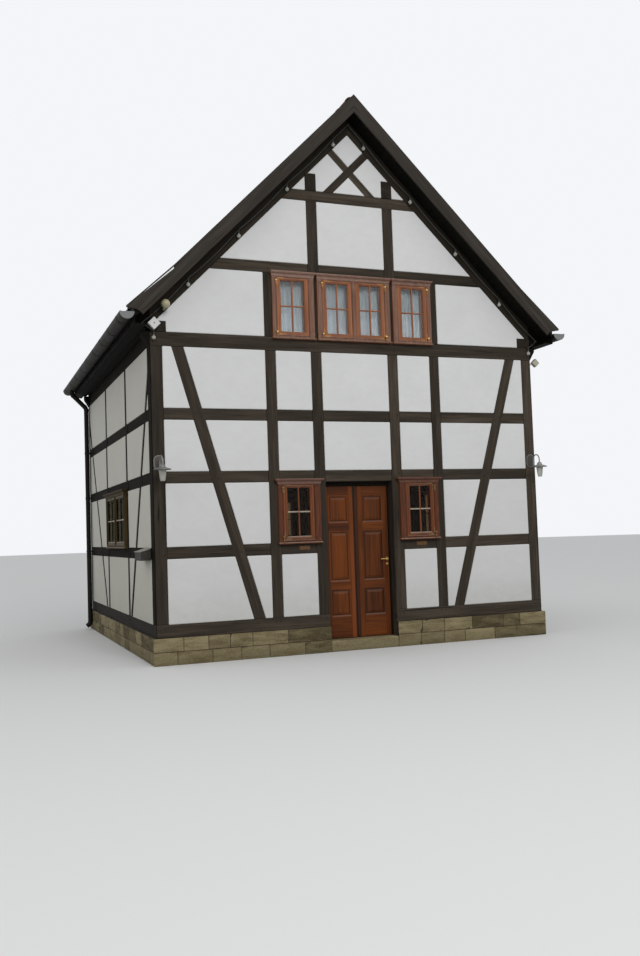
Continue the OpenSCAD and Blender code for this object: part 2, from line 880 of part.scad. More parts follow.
// Windows and glass of the four walls
module front_windows() {
    color(window_brown) on_front() for (side = [0, 1])
        mirror([side, 0, 0]) ground_window_unit();
}
module gable_windows() {
    color(window_brown) on_front() gable_window_units();
}
module side_windows() {
    color(window_brown) {
        on_left() side_window_unit();
        on_right() side_window_unit();
    }
}
module rear_windows() {
    color(window_brown) on_rear() {
        gable_window_units();
        for (side = [0, 1])
            mirror([side, 0, 0]) ground_window_unit();
    }
}
module window_glass() {
    color([0.55, 0.62, 0.66]) {
        on_front() gable_wall_panes();
        on_rear() gable_wall_panes();
        on_left() window_panes(side_wall_window);
        on_right() window_panes(side_wall_window);
    }
}

module curtain_rods() {
    color([0.72, 0.58, 0.34]) on_front() for (bay = attic_bays)
        translate([bay[0], (curtain_d0 + curtain_d1) / 2, curtain_rod_z]) rotate([0, 90, 0])
            cylinder(r = curtain_rod_r, h = bay[1] - bay[0], $fn = 24);
}
module curtains() {
    side_gap = 6;
    color([0.86, 0.88, 0.90]) on_front() for (bay = attic_bays)
        slab(curtain_d0, curtain_d1)
            box_2d(bay[0] + side_gap, bay[1] - side_gap, curtain_foot, curtain_rod_z - curtain_rod_r);
}

// Door
module door_frame() {
    color(timber_brown) on_front() {
        slab(door_face - 15, timber_d) difference() {
            box_2d(-door_half, door_half, floor_z, middle_rail_z);
            box_2d(-door_half + jamb_w, door_half - jamb_w, 0, middle_rail_z - head_h);
        }
        for (z = hinge_levels) {
            translate([pin_x, timber_d + pin_out, z]) cylinder(r = pin_r, h = 48, $fn = 24);
            translate([pin_x - 50, timber_d, z]) cube([50, pin_out - 3, 48]);
        }
    }
}
// Field of a door panel, raised on both faces with a bevel all round
module raised_field(col, row) {
    edge = 14;
    bevel = 34;
    mid = (door_face + timber_d) / 2;
    low = leaf_t / 2 - panel_sunk + eps;
    high = leaf_t / 2 - 2;
    intersection() {
        translate([0, mid, row[0]]) linear_extrude(row[1] - row[0])
            polygon(field_points(col[0] + edge, col[1] - edge, bevel, low, high));
        translate([0, mid, 0]) rotate([90, 0, 90]) translate([0, 0, col[0]])
            linear_extrude(col[1] - col[0])
                polygon([for (p = field_points(row[0] + edge, row[1] - edge, bevel, low, high))
                    [p[1], p[0]]]);
    }
}
function field_points(a, b, bevel, low, high) = [
    [a, -low], [a + bevel, -high], [b - bevel, -high], [b, -low],
    [b, low], [b - bevel, high], [a + bevel, high], [a, low]
];
module door_leaf() {
    color(door_brown) on_front() {
        difference() {
            slab(door_face, timber_d) box_2d(leaf_x0, leaf_x1, leaf_z0, leaf_z1);
            for (col = panel_cols, row = panel_rows) {
                slab(door_face - eps, door_face + panel_sunk)
                    box_2d(col[0], col[1], row[0], row[1]);
                slab(timber_d - panel_sunk, timber_d + eps)
                    box_2d(col[0], col[1], row[0], row[1]);
            }
            slab(door_face - eps, door_face + 10)
                box_2d(-groove_w / 2, groove_w / 2, leaf_z0 - eps, leaf_z1 + eps);
        }
        for (col = panel_cols, row = panel_rows)
            raised_field(col, row);
        for (z = hinge_levels) {
            translate([pin_x, timber_d + pin_out, z + 52]) cylinder(r = pin_r, h = 48, $fn = 24);
            translate([pin_x, timber_d, z + 52]) cube([50, pin_out - 3, 48]);
        }
    }
}
module door_lever() {
    spindle_x = 478;
    lever_z = 1315;
    lever_l = 115;
    lever_r = 9;
    lever_out = 52;
    rose_r = 26;
    rose_t = 8;
    key_rose_r = 20;
    key_drop = 75;
    color([0.72, 0.58, 0.34]) on_front() {
        for (face = [[door_face, 0], [timber_d, 1]])
            translate([spindle_x, face[0], lever_z]) mirror([0, face[1], 0]) {
                rotate([90, 0, 0]) cylinder(r = rose_r, h = rose_t, $fn = 32);
                rotate([90, 0, 0]) cylinder(r = lever_r, h = lever_out, $fn = 24);
                translate([0, -lever_out, 0]) sphere(r = lever_r, $fn = 24);
                translate([0, -lever_out, 0]) rotate([0, -90, 0])
                    cylinder(r = lever_r, h = lever_l, $fn = 24);
                translate([-lever_l, -lever_out, 0]) sphere(r = lever_r, $fn = 24);
                translate([0, 0, -key_drop]) rotate([90, 0, 0]) cylinder(r = key_rose_r, h = 6, $fn = 32);
            }
    }
}

// Outdoor lamp on a swan neck: plate on the post, neck, cap and shade round one upright axis
module lamp_metal() {
    plate_r = 70;
    plate_t = 12;
    plate_z = 2779;
    plate_half = 34;
    neck_r = 9;
    neck_back = 88;
    arch_r = (lamp_out - neck_back) / 2;
    arch_z = 2780;
    low_z = 2700;
    for (dz = [-plate_half, plate_half])
        translate([0, 0, plate_z + dz]) rotate([90, 0, 0]) cylinder(r = plate_r, h = plate_t, $fn = 48);
    translate([-plate_r, -plate_t, plate_z - plate_half]) cube([2 * plate_r, plate_t, 2 * plate_half]);
    translate([0, 0, low_z]) rotate([90, 0, 0]) cylinder(r = neck_r, h = neck_back, $fn = 24);
    translate([0, -neck_back, low_z]) sphere(r = neck_r + 2, $fn = 24);
    translate([0, -neck_back, low_z]) cylinder(r = neck_r, h = arch_z - low_z, $fn = 24);
    translate([0, -neck_back - arch_r, arch_z]) rotate([90, 0, -90])
        rotate_extrude(angle = 180, $fn = 64) translate([arch_r, 0]) circle(r = neck_r, $fn = 24);
    translate([0, -lamp_out, lamp_z]) {
        translate([0, 0, shade_h - 5]) cylinder(r = neck_r, h = arch_z - lamp_z - shade_h + 5, $fn = 24);
        rotate_extrude($fn = 64) polygon([
            [0, 0], [114, 0], [120, 3], [120, 9], [72, 26], [41, 36], [36, 58], [26, 74],
            [14, shade_h], [0, shade_h]
        ]);
    }
}
module lamp_glass() {
    translate([0, -lamp_out, lamp_z - lamp_glass_h]) rotate_extrude($fn = 64) polygon([
        [0, 0], [25, 0], [33, 8], [40, 50], [48, 110], [52, lamp_glass_h], [0, lamp_glass_h]
    ]);
}
module wall_lamps() {
    color(zinc_grey) on_front() for (side = [0, 1])
        mirror([side, 0, 0]) translate([lamp_post_x, 0, 0]) lamp_metal();
}
module lamp_glasses() {
    color([0.80, 0.82, 0.80]) on_front() for (side = [0, 1])
        mirror([side, 0, 0]) {
            translate([lamp_post_x, 0, 0]) lamp_glass();
            for (p = bulb_places)
                translate([p[0], -cable_out, p[1] - cable_r - socket_l]) bulb();
        }
}
module bulb() {
    neck_r = 10;
    neck_l = 9;
    translate([0, 0, -neck_l - bulb_r]) {
        sphere(r = bulb_r, $fn = 48);
        cylinder(r = neck_r, h = bulb_r + neck_l, $fn = 32);
    }
}

// Small lights: a round one on the left rafter, a sensor box on the left purlin end and
// a floodlight on the side of the right corner post
module eaves_lights() {
    globe = [-2892, -150, 4976];
    globe_r = 63;
    under_cable = [0, 0, -40];
    box_at = [-3046, -80, 4709];
    box_w = 125;
    box_t = 70;
    flood_at = [3225, 50, 4385];
    flood_w = 95;
    flood_t = 60;
    flood_foot = [half_w, flood_at[1], 4345];
    stem_r = 20;
    flange_r = 24;
    flange_t = 8;
    flood_rod_r = 9;
    color(cream) on_front() {
        translate(globe) sphere(r = globe_r, $fn = 48);
        translate(box_at) rotate([0, pitch, 0]) cube([box_w, box_t, box_w], center = true);
        for (end = [globe + under_cable, box_at])
            translate([end[0], 0, end[2]]) rotate([90, 0, 0]) cylinder(r = stem_r, h = -end[1], $fn = 32);
        translate(flood_at) rotate([0, pitch, 0]) cube([flood_w, flood_t, flood_w], center = true);
        translate(flood_foot) rotate([0, 90, 0]) cylinder(r = flange_r, h = flange_t, $fn = 32);
        rod(flood_foot + [flange_t / 2, 0, 0], flood_at, flood_rod_r);
    }
}

// Light string: clips on the rafters, a cable with a swag between them, and a socket at each bulb
function heading(k) = let(a = cable_line[max(k - 1, 0)], b = cable_line[min(k + 1, len(cable_line) - 1)])
    (b - a) / norm(b - a);
function ring_point(k, j) = let(n = heading(k), a = (j + 0.5) * 360 / ring_sides)
    [cable_line[k][0] - n[1] * cable_r * cos(a), cable_r * sin(a),
     cable_line[k][1] + n[0] * cable_r * cos(a)];
module cable_tube() {
    rings = len(cable_line);
    last = (rings - 1) * ring_sides;
    polyhedron(
        points = [for (k = [0 : rings - 1], j = [0 : ring_sides - 1]) ring_point(k, j)],
        faces = concat(
            [[for (j = [ring_sides - 1 : -1 : 0]) j]],
            [[for (j = [0 : ring_sides - 1]) last + j]],
            [for (k = [0 : rings - 2], j = [0 : ring_sides - 1])
                let(a = k * ring_sides + j, b = k * ring_sides + (j + 1) % ring_sides)
                [a, b, b + ring_sides, a + ring_sides]]
        ),
        convexity = 4
    );
}
module cable_clip(p) {
    clip_w = 16;
    translate([p[0] - clip_w / 2, -cable_out, p[1] - clip_w / 2]) cube([clip_w, cable_out, clip_w]);
}
module light_cable() {
    color([0.12, 0.13, 0.12]) on_front() {
        translate([0, -cable_out, 0]) cable_tube();
        for (side = [0, 1])
            mirror([side, 0, 0]) {
                for (p = bulb_places)
                    translate([p[0], -cable_out, p[1] - cable_r - socket_l])
                        cylinder(r = socket_r, h = socket_l + cable_r, $fn = 32);
                for (p = bulb_places)
                    cable_clip(p);
                cable_clip(cable_turn);
            }
        cable_clip(cable_half[0]);
    }
}

// Letterbox on the left wall, with a sloping lid that oversails the box
module letterbox() {
    box_y0 = -3000;
    box_l = 460;
    box_out = 150;
    low_z = 1435;
    lid_z = 1556;
    lid_wall_z = 1600;
    lid_t = 8;
    lid_over = 10;
    pad_z = 1480;
    pad_w = 60;
    wall_x = half_w + plaster_proud;
    color([0.30, 0.28, 0.25]) translate([0, box_y0, 0]) mirror([1, 0, 0]) {
        slab(0, box_l) polygon([
            [wall_x, low_z], [half_w + box_out, low_z], [half_w + box_out, lid_z], [wall_x, lid_wall_z]
        ]);
        slab(-lid_over, box_l + lid_over) polygon([
            [wall_x, lid_wall_z - eps], [half_w + box_out + lid_over, lid_z - 4],
            [half_w + box_out + lid_over, lid_z - 4 + lid_t], [wall_x, lid_wall_z + lid_t]
        ]);
        for (y = [pad_w, box_l - 2 * pad_w])
            translate([half_w - rail_back, y, pad_z]) cube([rail_back + plaster_proud + eps, pad_w, pad_w]);
    }
}

plinth_front_left();
plinth_front_right();
plinth_sides();
plinth_rear();
door_step();
ground_floor();
front_frame_left();
front_frame_right();
front_frame_over_door();
front_tie_beam();
front_gable_frame();
front_infill();
front_gable_infill();
rear_frame();
rear_gable_frame();
rear_infill();
left_frame();
left_infill();
right_frame();
right_infill();
attic_floor();
attic_beams();
purlins();
rafters_left();
rafters_right();
roof_deck_left();
roof_deck_right();
tiles_left();
tiles_right();
ridge_tiles();
bargeboards_front();
bargeboards_rear();
gutter_left();
gutter_right();
downpipes();
front_windows();
gable_windows();
side_windows();
rear_windows();
window_glass();
curtain_rods();
curtains();
door_frame();
door_leaf();
door_lever();
wall_lamps();
lamp_glasses();
eaves_lights();
light_cable();
letterbox();
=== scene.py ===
import json
import math
import random

import bmesh
import bpy
from mathutils import Matrix, Vector, noise

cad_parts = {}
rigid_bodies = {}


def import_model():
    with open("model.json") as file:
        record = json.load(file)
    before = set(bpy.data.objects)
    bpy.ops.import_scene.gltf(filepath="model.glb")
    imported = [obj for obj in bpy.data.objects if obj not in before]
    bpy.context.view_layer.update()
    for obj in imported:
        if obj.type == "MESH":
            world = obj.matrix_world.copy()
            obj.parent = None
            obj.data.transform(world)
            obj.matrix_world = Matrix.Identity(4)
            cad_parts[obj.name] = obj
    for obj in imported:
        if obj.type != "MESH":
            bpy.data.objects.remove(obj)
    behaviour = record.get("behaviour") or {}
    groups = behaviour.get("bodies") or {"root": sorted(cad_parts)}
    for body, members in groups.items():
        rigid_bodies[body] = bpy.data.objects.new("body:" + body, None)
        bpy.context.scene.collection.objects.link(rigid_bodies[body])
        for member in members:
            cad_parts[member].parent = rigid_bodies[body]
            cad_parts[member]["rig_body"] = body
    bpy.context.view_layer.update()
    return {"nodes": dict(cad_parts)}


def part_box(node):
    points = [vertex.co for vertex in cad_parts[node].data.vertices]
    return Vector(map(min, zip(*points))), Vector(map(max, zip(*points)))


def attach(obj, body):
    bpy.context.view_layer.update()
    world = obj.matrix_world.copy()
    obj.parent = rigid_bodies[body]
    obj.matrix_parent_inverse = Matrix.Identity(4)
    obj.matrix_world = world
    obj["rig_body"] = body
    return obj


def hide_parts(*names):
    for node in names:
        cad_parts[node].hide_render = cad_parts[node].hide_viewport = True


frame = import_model()
nodes = frame["nodes"]
random.seed(7)

# The main sizes of the part's source, in metres
HALF_W, HALF_D = 3.1, 3.2
WALL = 0.2
SIDE_END = 2 * HALF_D - WALL
SILL_Z, SILL_TOP = 0.37, 0.55
RAILS = (1.445, 2.491, 3.380)
RAIL_H = 0.165
TIE_Z, TIE_TOP, TIE_END_X = 4.413, 4.615, 3.190
GABLE_RAIL_Z, COLLAR_Z = 5.563, 6.691
APEX_Z = 7.781
CORNER_W, OUTER_W, INNER_W = 0.177, 0.163, 0.168
CORNER_X, OUTER_X, INNER_X = HALF_W - CORNER_W / 2, 1.337, 0.625
DOOR_HALF = INNER_X - INNER_W / 2
BRACE_W, CROSS_W, CROSS_Z = 0.172, 0.112, 7.2
BRACE_FOOT_X, BRACE_HEAD_X = 1.612, 2.708
SIDE_POSTS = (2.030, 4.080)
SIDE_BRACES = ((1.858, -0.040), (4.330, 6.440))
BRACE_BACK, RAIL_BACK = 0.003, 0.006
ROOT2 = math.sqrt(2)
RAFTER_H, DECK_H, TILE_H = 0.180, 0.105, 0.060
TAIL_X, TAIL_Z, TILE_X = 3.355, 4.660, 3.385
KICK_X, KICK_RISE = 2.780, 0.054
BARGE_HIGH = 0.353
VERGE_Y = 3.49
PLINTH_OUT = 0.03
# The spans between a gable wall's posts beside the door, and how far a timber stops short of the next one
FIELDS = ((INNER_X + INNER_W / 2, OUTER_X - OUTER_W / 2), (OUTER_X + OUTER_W / 2, HALF_W - CORNER_W))
SEAM = 0.0012
# The door's panels: their columns and rows, the groove beside the middle and the end of its cover strip
DOOR_COLS = ((-0.458, -0.130), (0.088, 0.440))
DOOR_ROWS = ((0.480, 0.895), (1.000, 1.758), (1.872, 2.290))
DOOR_GROOVE, DOOR_STRIP = (-0.060, -0.034), 0.012
# Heights between which the windows' cornices and their level parts lie
CORNICE_LEVELS = ((2.452, 2.60), (5.498, 5.65))
JOINERY_LEVELS = ((1.55, 1.701), (2.407, 2.56), (4.58, 4.694), (5.451, 5.60))
UP, LEVEL = (0, 1), (1, 0)
# A tone below the range of the others, for the rafters and purlin ends of the gables: painted shade under the
# verges
PAINTED_SHADE_TONE = -0.92


# Colours and shader graphs


def rgb(r, g, b):
    """Linear colour of an sRGB triple from 0 to 255."""
    linear = [((c / 255 + 0.055) / 1.055) ** 2.4 if c > 10 else c / 255 / 12.92 for c in (r, g, b)]
    return (*linear, 1.0)


class Graph:
    """A shader's node tree, with short names for the nodes that are used here."""

    def __init__(self, tree):
        self.tree = tree
        tree.nodes.clear()

    def put(self, socket, value):
        if isinstance(value, bpy.types.NodeSocket):
            self.tree.links.new(value, socket)
        else:
            socket.default_value = value

    def node(self, kind, *inputs, **settings):
        """A new node. Each input is a socket's name or number and its value."""
        n = self.tree.nodes.new(kind)
        for key, value in settings.items():
            setattr(n, key, value)
        for socket, value in inputs:
            self.put(n.inputs[socket], value)
        return n

    def math(self, operation, a, b=0.0, c=0.0):
        return self.node("ShaderNodeMath", (0, a), (1, b), (2, c), operation=operation).outputs[0]

    def plus(self, a, b):
        return self.math("ADD", a, b)

    def minus(self, a, b):
        return self.math("SUBTRACT", a, b)

    def times(self, a, b):
        return self.math("MULTIPLY", a, b)

    def most(self, a, b):
        return self.math("MAXIMUM", a, b)

    def size(self, value):
        return self.math("ABSOLUTE", value)

    def above(self, value, low):
        return self.math("GREATER_THAN", value, low)

    def below(self, value, high):
        return self.math("LESS_THAN", value, high)

    def seen(self):
        """1 for what the camera sees, also in a reflection or through glass."""
        rays = self.node("ShaderNodeLightPath").outputs
        return self.most(rays["Is Camera Ray"], self.most(rays["Is Glossy Ray"], rays["Is Transmission Ray"]))


looks = {}


class Look(Graph):
    """A procedural material: a Principled shader and what feeds it."""

    def __init__(self, name, roughness=0.7, **values):
        self.mat = bpy.data.materials.new(name)
        self.mat.use_nodes = True
        super().__init__(self.mat.node_tree)
        self.out = self.node("ShaderNodeOutputMaterial")
        self.bsdf = self.node("ShaderNodeBsdfPrincipled", ("Roughness", roughness))
        self.put(self.out.inputs[0], self.bsdf.outputs[0])
        for key, value in values.items():
            self.bsdf.inputs[key.replace("_", " ")].default_value = value
        looks[name] = self.mat

    def place(self):
        return self.node("ShaderNodeTexCoord").outputs["Object"]

    def grain(self):
        """The place along the grain, which each timber, stone and cloth carries."""
        return self.node("ShaderNodeAttribute", attribute_name="grain").outputs["Vector"]

    def tone(self):
        """The number that tells one timber, stone or tile from the next."""
        return self.node("ShaderNodeAttribute", attribute_name="tone").outputs["Fac"]

    def axes(self, names="XYZ"):
        """The coordinates of the place that are named."""
        outputs = self.split(self.place())
        return [outputs[name] for name in names]

    def normal(self):
        return self.split(self.node("ShaderNodeNewGeometry").outputs["Normal"])

    def split(self, vector):
        return self.node("ShaderNodeSeparateXYZ", (0, vector)).outputs

    def join(self, x, y, z):
        return self.node("ShaderNodeCombineXYZ", (0, x), (1, y), (2, z)).outputs[0]

    def scaled(self, vector, scale):
        return self.node("ShaderNodeVectorMath", (0, vector), (1, scale), operation="MULTIPLY").outputs[0]

    def noise(self, vector, scale=1.0, detail=3.0, rough=0.5, distortion=0.0):
        values = (("Vector", vector), ("Scale", scale), ("Detail", detail), ("Roughness", rough))
        return self.node("ShaderNodeTexNoise", *values, ("Distortion", distortion)).outputs[0]

    def cells(self, vector, scale):
        return self.node("ShaderNodeTexVoronoi", ("Vector", vector), ("Scale", scale)).outputs["Distance"]

    def ramp(self, factor, *stops):
        n = self.node("ShaderNodeValToRGB", (0, factor))
        e = n.color_ramp.elements
        while len(e) < len(stops):
            e.new(1.0)
        for element, (at, colour) in zip(e, stops):
            element.position = at
            element.color = colour if isinstance(colour, tuple) else (colour, colour, colour, 1)
        return n.outputs[0]

    def span(self, value, low, high, a=0.0, b=1.0):
        ends = (("From Min", low), ("From Max", high), ("To Min", a), ("To Max", b))
        return self.node("ShaderNodeMapRange", ("Value", value), *ends).outputs[0]

    def mix(self, share, a, b):
        return self.node("ShaderNodeMix", (0, share), (6, a), (7, b), data_type="RGBA").outputs[2]

    def band(self, value, low, high):
        """1 where the value lies between low and high."""
        return self.times(self.above(value, low), self.below(value, high))

    def any_band(self, value, levels):
        first, *rest = [self.band(value, low, high) for low, high in levels]
        for mask in rest:
            first = self.most(first, mask)
        return first

    def colour(self, value):
        self.put(self.bsdf.inputs["Base Color"], value)

    def over(self, share, colour):
        """Lays a colour over the one that is there."""
        below = self.bsdf.inputs["Base Color"].links[0].from_socket
        self.colour(self.mix(share, below, colour))

    def rough(self, value):
        self.put(self.bsdf.inputs["Roughness"], value)

    def bump(self, *layers):
        """Each layer is a height, its strength and its depth in metres."""
        normal = None
        for height, strength, depth in layers:
            n = self.node("ShaderNodeBump", ("Strength", strength), ("Distance", depth), ("Height", height))
            if normal is not None:
                self.put(n.inputs["Normal"], normal)
            normal = n.outputs[0]
        self.put(self.bsdf.inputs["Normal"], normal)


def own_grain(k):
    return k.grain()


def slope_grain(k):
    """Along the roof's slope, mirrored over the ridge."""
    x, y, z = k.axes()
    side = k.size(x)
    return k.join(k.times(k.minus(side, z), 1 / ROOT2), k.times(k.plus(side, z), 1 / ROOT2), y)


def joinery_grain(k):
    """Along z on the stiles, and level on the rails, the sill and the cornice."""
    x, y, z = k.axes()
    level = k.any_band(z, JOINERY_LEVELS)
    flat = k.plus(x, y)
    along = k.math("MULTIPLY_ADD", k.minus(flat, z), level, z)
    other = k.math("MULTIPLY_ADD", k.minus(z, flat), level, flat)
    return k.join(along, other, k.minus(x, y))


def floor_grain(k):
    x, y, z = k.axes()
    return k.join(y, x, z)


def wood(name, dark, mid, light, grain, roughness=0.7, checks=0.6, fine=34.0, spread=0.34, **values):
    """Sawn wood. grain makes coordinates that run along the fibres in their first number.

    Pieces with a grain of their own have a tone of their own too, and spread says how far it reaches.
    """
    k = Look(name, roughness, **values)
    v = grain(k)
    fibre = k.noise(k.scaled(v, (1.6, fine, fine)), 1.0, 5.0, 0.62, 0.3)
    board = k.noise(k.scaled(v, (0.55, 7.0, 7.0)), 1.0, 3.0, 0.5, 0.6)
    crack = k.noise(k.scaled(v, (1.3, 46.0, 46.0)), 1.0, 2.0, 0.4, 0.2)
    both = k.math("MULTIPLY_ADD", fibre, 0.55, k.times(board, 0.45))
    if grain is own_grain:
        both = k.plus(both, k.math("MULTIPLY_ADD", k.tone(), spread, -0.5 * spread))
    k.colour(k.ramp(both, (0.30, dark), (0.50, mid), (0.72, light)))
    slit = k.ramp(crack, (0.27, 1.0), (0.335, 0.0))
    k.over(k.times(slit, checks), tuple(0.25 * c for c in dark[:3]) + (1.0,))
    k.rough(k.span(fibre, 0.3, 0.7, roughness - 0.08, roughness + 0.10))
    k.bump((fibre, 0.35, 0.0016), (k.times(slit, -1.0), 0.5 * checks, 0.004))
    return k


def timber_look(name, dark, mid, light, grain=own_grain):
    return wood(name, dark, mid, light, grain, 0.76, checks=0.75, spread=0.12, Specular_IOR_Level=0.1)


def oak_look():
    """Stained oak, darkened on the side walls by painted shade from the eaves, most of all above the sill."""
    k = timber_look("timber_oak", rgb(39, 34, 28), rgb(58, 51, 43), rgb(84, 75, 65))
    x, z = k.axes("XZ")
    side = k.above(k.size(x), HALF_W - RAIL_BACK - 0.006)
    above_sill = k.above(z, SILL_TOP + 0.004)
    # Painted shade: a near-black overlay on the side walls' timbers, a little stronger above the sill, with
    # less sheen there too
    stain = k.math("MULTIPLY_ADD", above_sill, 0.15, 0.7)
    k.over(k.times(stain, side), rgb(14, 13, 11))
    dull = k.times(above_sill, side)
    k.put(k.bsdf.inputs["Specular IOR Level"], k.math("MULTIPLY_ADD", dull, -0.07, 0.1))


def boards_look():
    """Planed floor boards with open joints."""
    k = wood("floor_boards", rgb(112, 84, 58), rgb(146, 114, 82), rgb(176, 142, 106), floor_grain, 0.55, 0.3)
    x = k.axes("X")[0]
    k.over(k.below(k.math("MODULO", k.plus(x, 10.0), 0.16), 0.005), rgb(40, 30, 22))


def plaster_look():
    """Limewash, greyer low down, with soil above the sill, and a painted olive shade on the side walls."""
    k = Look("lime_plaster", 0.92, Specular_IOR_Level=0.25)
    p = k.place()
    x, z = k.axes("XZ")
    trowel = k.noise(k.scaled(p, (1.0, 1.0, 1.7)), 7.0, 3.0, 0.5, 0.4)
    grit = k.noise(p, 420.0, 2.0, 0.6)
    k.colour(k.ramp(k.noise(p, 1.3, 4.0, 0.55), (0.30, rgb(211, 211, 210)), (0.62, rgb(217, 217, 216))))
    k.over(0.30, k.ramp(trowel, (0.35, rgb(210, 210, 208)), (0.65, rgb(220, 220, 219))))
    k.over(k.span(k.tone(), 0.0, 1.0, 0.0, 0.10), rgb(192, 193, 190))
    k.over(k.span(z, 0.5, 3.0, 0.30, 0.0), rgb(176, 176, 171))
    # Painted light: a darker olive tint on the side walls stands for their shade and the light bounced from
    # green surroundings
    k.over(k.times(k.above(k.size(x), HALF_W - 0.02), 0.28), rgb(190, 181, 138))
    soil = k.times(k.span(z, 0.56, 1.05, 0.34, 0.0), k.noise(p, 9.0, 4.0, 0.6))
    k.over(soil, rgb(152, 150, 134))
    k.bump((trowel, 0.25, 0.004), (grit, 0.20, 0.0006))


def stone_look():
    """Split sandstone, mossy near the ground."""
    k = Look("sandstone", 0.93, Specular_IOR_Level=0.25)
    p = k.grain()
    bed = k.noise(k.scaled(p, (3.0, 3.0, 14.0)), 1.0, 4.0, 0.6, 0.4)
    grit = k.noise(p, 60.0, 4.0, 0.65)
    both = k.math("MULTIPLY_ADD", bed, 0.6, k.times(grit, 0.4))
    both = k.plus(both, k.math("MULTIPLY_ADD", k.tone(), 0.30, -0.15))
    k.colour(k.ramp(both, (0.30, rgb(74, 65, 44)), (0.50, rgb(112, 100, 73)), (0.70, rgb(144, 132, 101))))
    z = k.axes("Z")[0]
    k.over(k.times(k.span(z, 0.0, 0.2, 0.45, 0.0), k.ramp(bed, (0.42, 0.0), (0.6, 1.0))), rgb(78, 80, 56))
    k.bump((bed, 0.8, 0.014), (k.cells(p, 38.0), 0.5, 0.006), (grit, 0.5, 0.003))


def mortar_look():
    k = Look("mortar", 0.95, Specular_IOR_Level=0.2)
    p = k.place()
    k.colour(k.ramp(k.noise(p, 5.0, 4.0), (0.35, rgb(54, 48, 37)), (0.65, rgb(74, 66, 52))))
    k.bump((k.noise(p, 90.0, 3.0, 0.6), 0.4, 0.002))


def flags_look():
    k = Look("floor_flags", 0.72)
    p = k.place()
    flags = k.node(
        "ShaderNodeTexBrick", ("Vector", p), ("Scale", 1.0), ("Brick Width", 0.6), ("Row Height", 0.4),
        ("Mortar Size", 0.007), ("Mortar Smooth", 0.2), ("Color1", rgb(140, 130, 115)),
        ("Color2", rgb(118, 110, 98)), ("Mortar", rgb(70, 66, 58)),
    ).outputs
    grit = k.noise(p, 14.0, 5.0, 0.6)
    k.colour(k.mix(k.span(grit, 0.35, 0.65, 0.0, 0.35), flags["Color"], rgb(96, 90, 80)))
    k.rough(k.span(grit, 0.3, 0.7, 0.55, 0.8))
    k.bump((k.times(flags["Fac"], -1.0), 0.6, 0.006), (grit, 0.2, 0.002))


def clay_look():
    """Red clay with soot and lichen, nearly black along the verges and the eaves."""
    k = Look("red_clay", 0.85, Specular_IOR_Level=0.3)
    p = k.place()
    mottle = k.noise(p, 11.0, 4.0, 0.6)
    fire = k.plus(k.times(mottle, 0.5), k.times(k.tone(), 0.5))
    k.colour(k.ramp(fire, (0.25, rgb(92, 48, 38)), (0.50, rgb(134, 66, 46)), (0.78, rgb(164, 88, 60))))
    age = k.ramp(k.noise(p, 1.1, 4.0, 0.6), (0.42, 0.0), (0.66, 1.0))
    k.over(k.times(age, k.span(mottle, 0.3, 0.7, 0.25, 0.75)), rgb(78, 62, 52))
    spots = k.ramp(k.cells(p, 26.0), (0.05, 1.0), (0.16, 0.0))
    k.over(k.times(spots, k.ramp(k.noise(p, 3.1, 3.0), (0.52, 0.0), (0.66, 0.8))), rgb(150, 142, 112))
    x, y = k.axes("XY")
    verge = k.span(k.size(y), VERGE_Y - 0.075, VERGE_Y - 0.055)
    foot = k.span(k.size(x), TILE_X - 0.070, TILE_X - 0.040)
    k.over(k.times(k.most(verge, foot), 0.92), rgb(34, 30, 26))
    k.bump((mottle, 0.15, 0.003), (k.noise(p, 170.0, 3.0, 0.6), 0.25, 0.0008))


def window_look(name, casing, sash, bleach_and_sky_light=0.5, crown_share=0.28, gloss=0.25):
    """Varnished casement wood: a weathered casing, warmer sashes set back from it, and upper faces paler, for
    bleaching and a painted highlight of the sky.

    The cornices are paler, most of all on the left.
    """
    casing, sash = [rgb(*c) for c in casing], [rgb(*c) for c in sash]
    k = wood(name, *sash, joinery_grain, roughness=0.46, checks=0.25, fine=60.0, Specular_IOR_Level=gloss)
    x, y, z = k.axes()
    proud = k.most(k.minus(k.size(x), HALF_W), k.minus(k.size(y), HALF_D))
    outer = k.above(proud, 0.0415)
    wear = k.noise(k.scaled(joinery_grain(k), (2.0, 24.0, 24.0)), 1.0, 5.0, 0.65, 0.5)
    k.over(outer, k.ramp(wear, (0.30, casing[0]), (0.52, casing[1]), (0.74, casing[2])))
    # Upward faces paler: partly bleaching, partly a painted highlight of the sky
    k.over(k.times(k.span(k.normal()[2], 0.45, 0.9), bleach_and_sky_light), rgb(176, 158, 142))
    crown = k.times(outer, k.any_band(z, CORNICE_LEVELS))
    k.over(k.times(crown, k.span(x, -0.7, 0.7, 1.4 * crown_share, 0.6 * crown_share)), rgb(168, 140, 128))
    k.rough(k.mix(outer, (0.42, 0.42, 0.42, 1), (0.62, 0.62, 0.62, 1)))


def door_look():
    """Reddish brown varnish, with painted shade in the grooves and on the cover strip, and a painted
    highlight of the sky on faces that slope upwards.
    """
    k = wood(
        "door_varnish", rgb(56, 25, 6), rgb(88, 43, 11), rgb(118, 60, 17), own_grain,
        roughness=0.48, checks=0.2, fine=48.0, Specular_IOR_Level=0.15,
    )
    x, y, z = k.axes()
    d = k.plus(y, HALF_D)
    middle = k.band(x, DOOR_COLS[0][1] + 0.012, DOOR_GROOVE[0])
    k.over(k.times(middle, k.span(z, 1.95, 1.35, 0.15, 0.75)), rgb(122, 62, 26))
    # Painted shade over the groove and the cover strip beside it
    k.over(k.times(k.band(x, DOOR_GROOVE[0], DOOR_STRIP), 0.65), rgb(40, 28, 21))
    # Painted shade where the faces sink round the raised fields
    k.over(k.times(k.span(d, 0.1635, 0.1685, 0.0, 0.8), k.below(d, 0.180)), rgb(26, 13, 8))
    # Painted highlight of sky light on faces that slope upwards
    k.over(k.span(k.normal()[2], 0.12, 0.32, 0.0, 0.5), rgb(120, 86, 70))


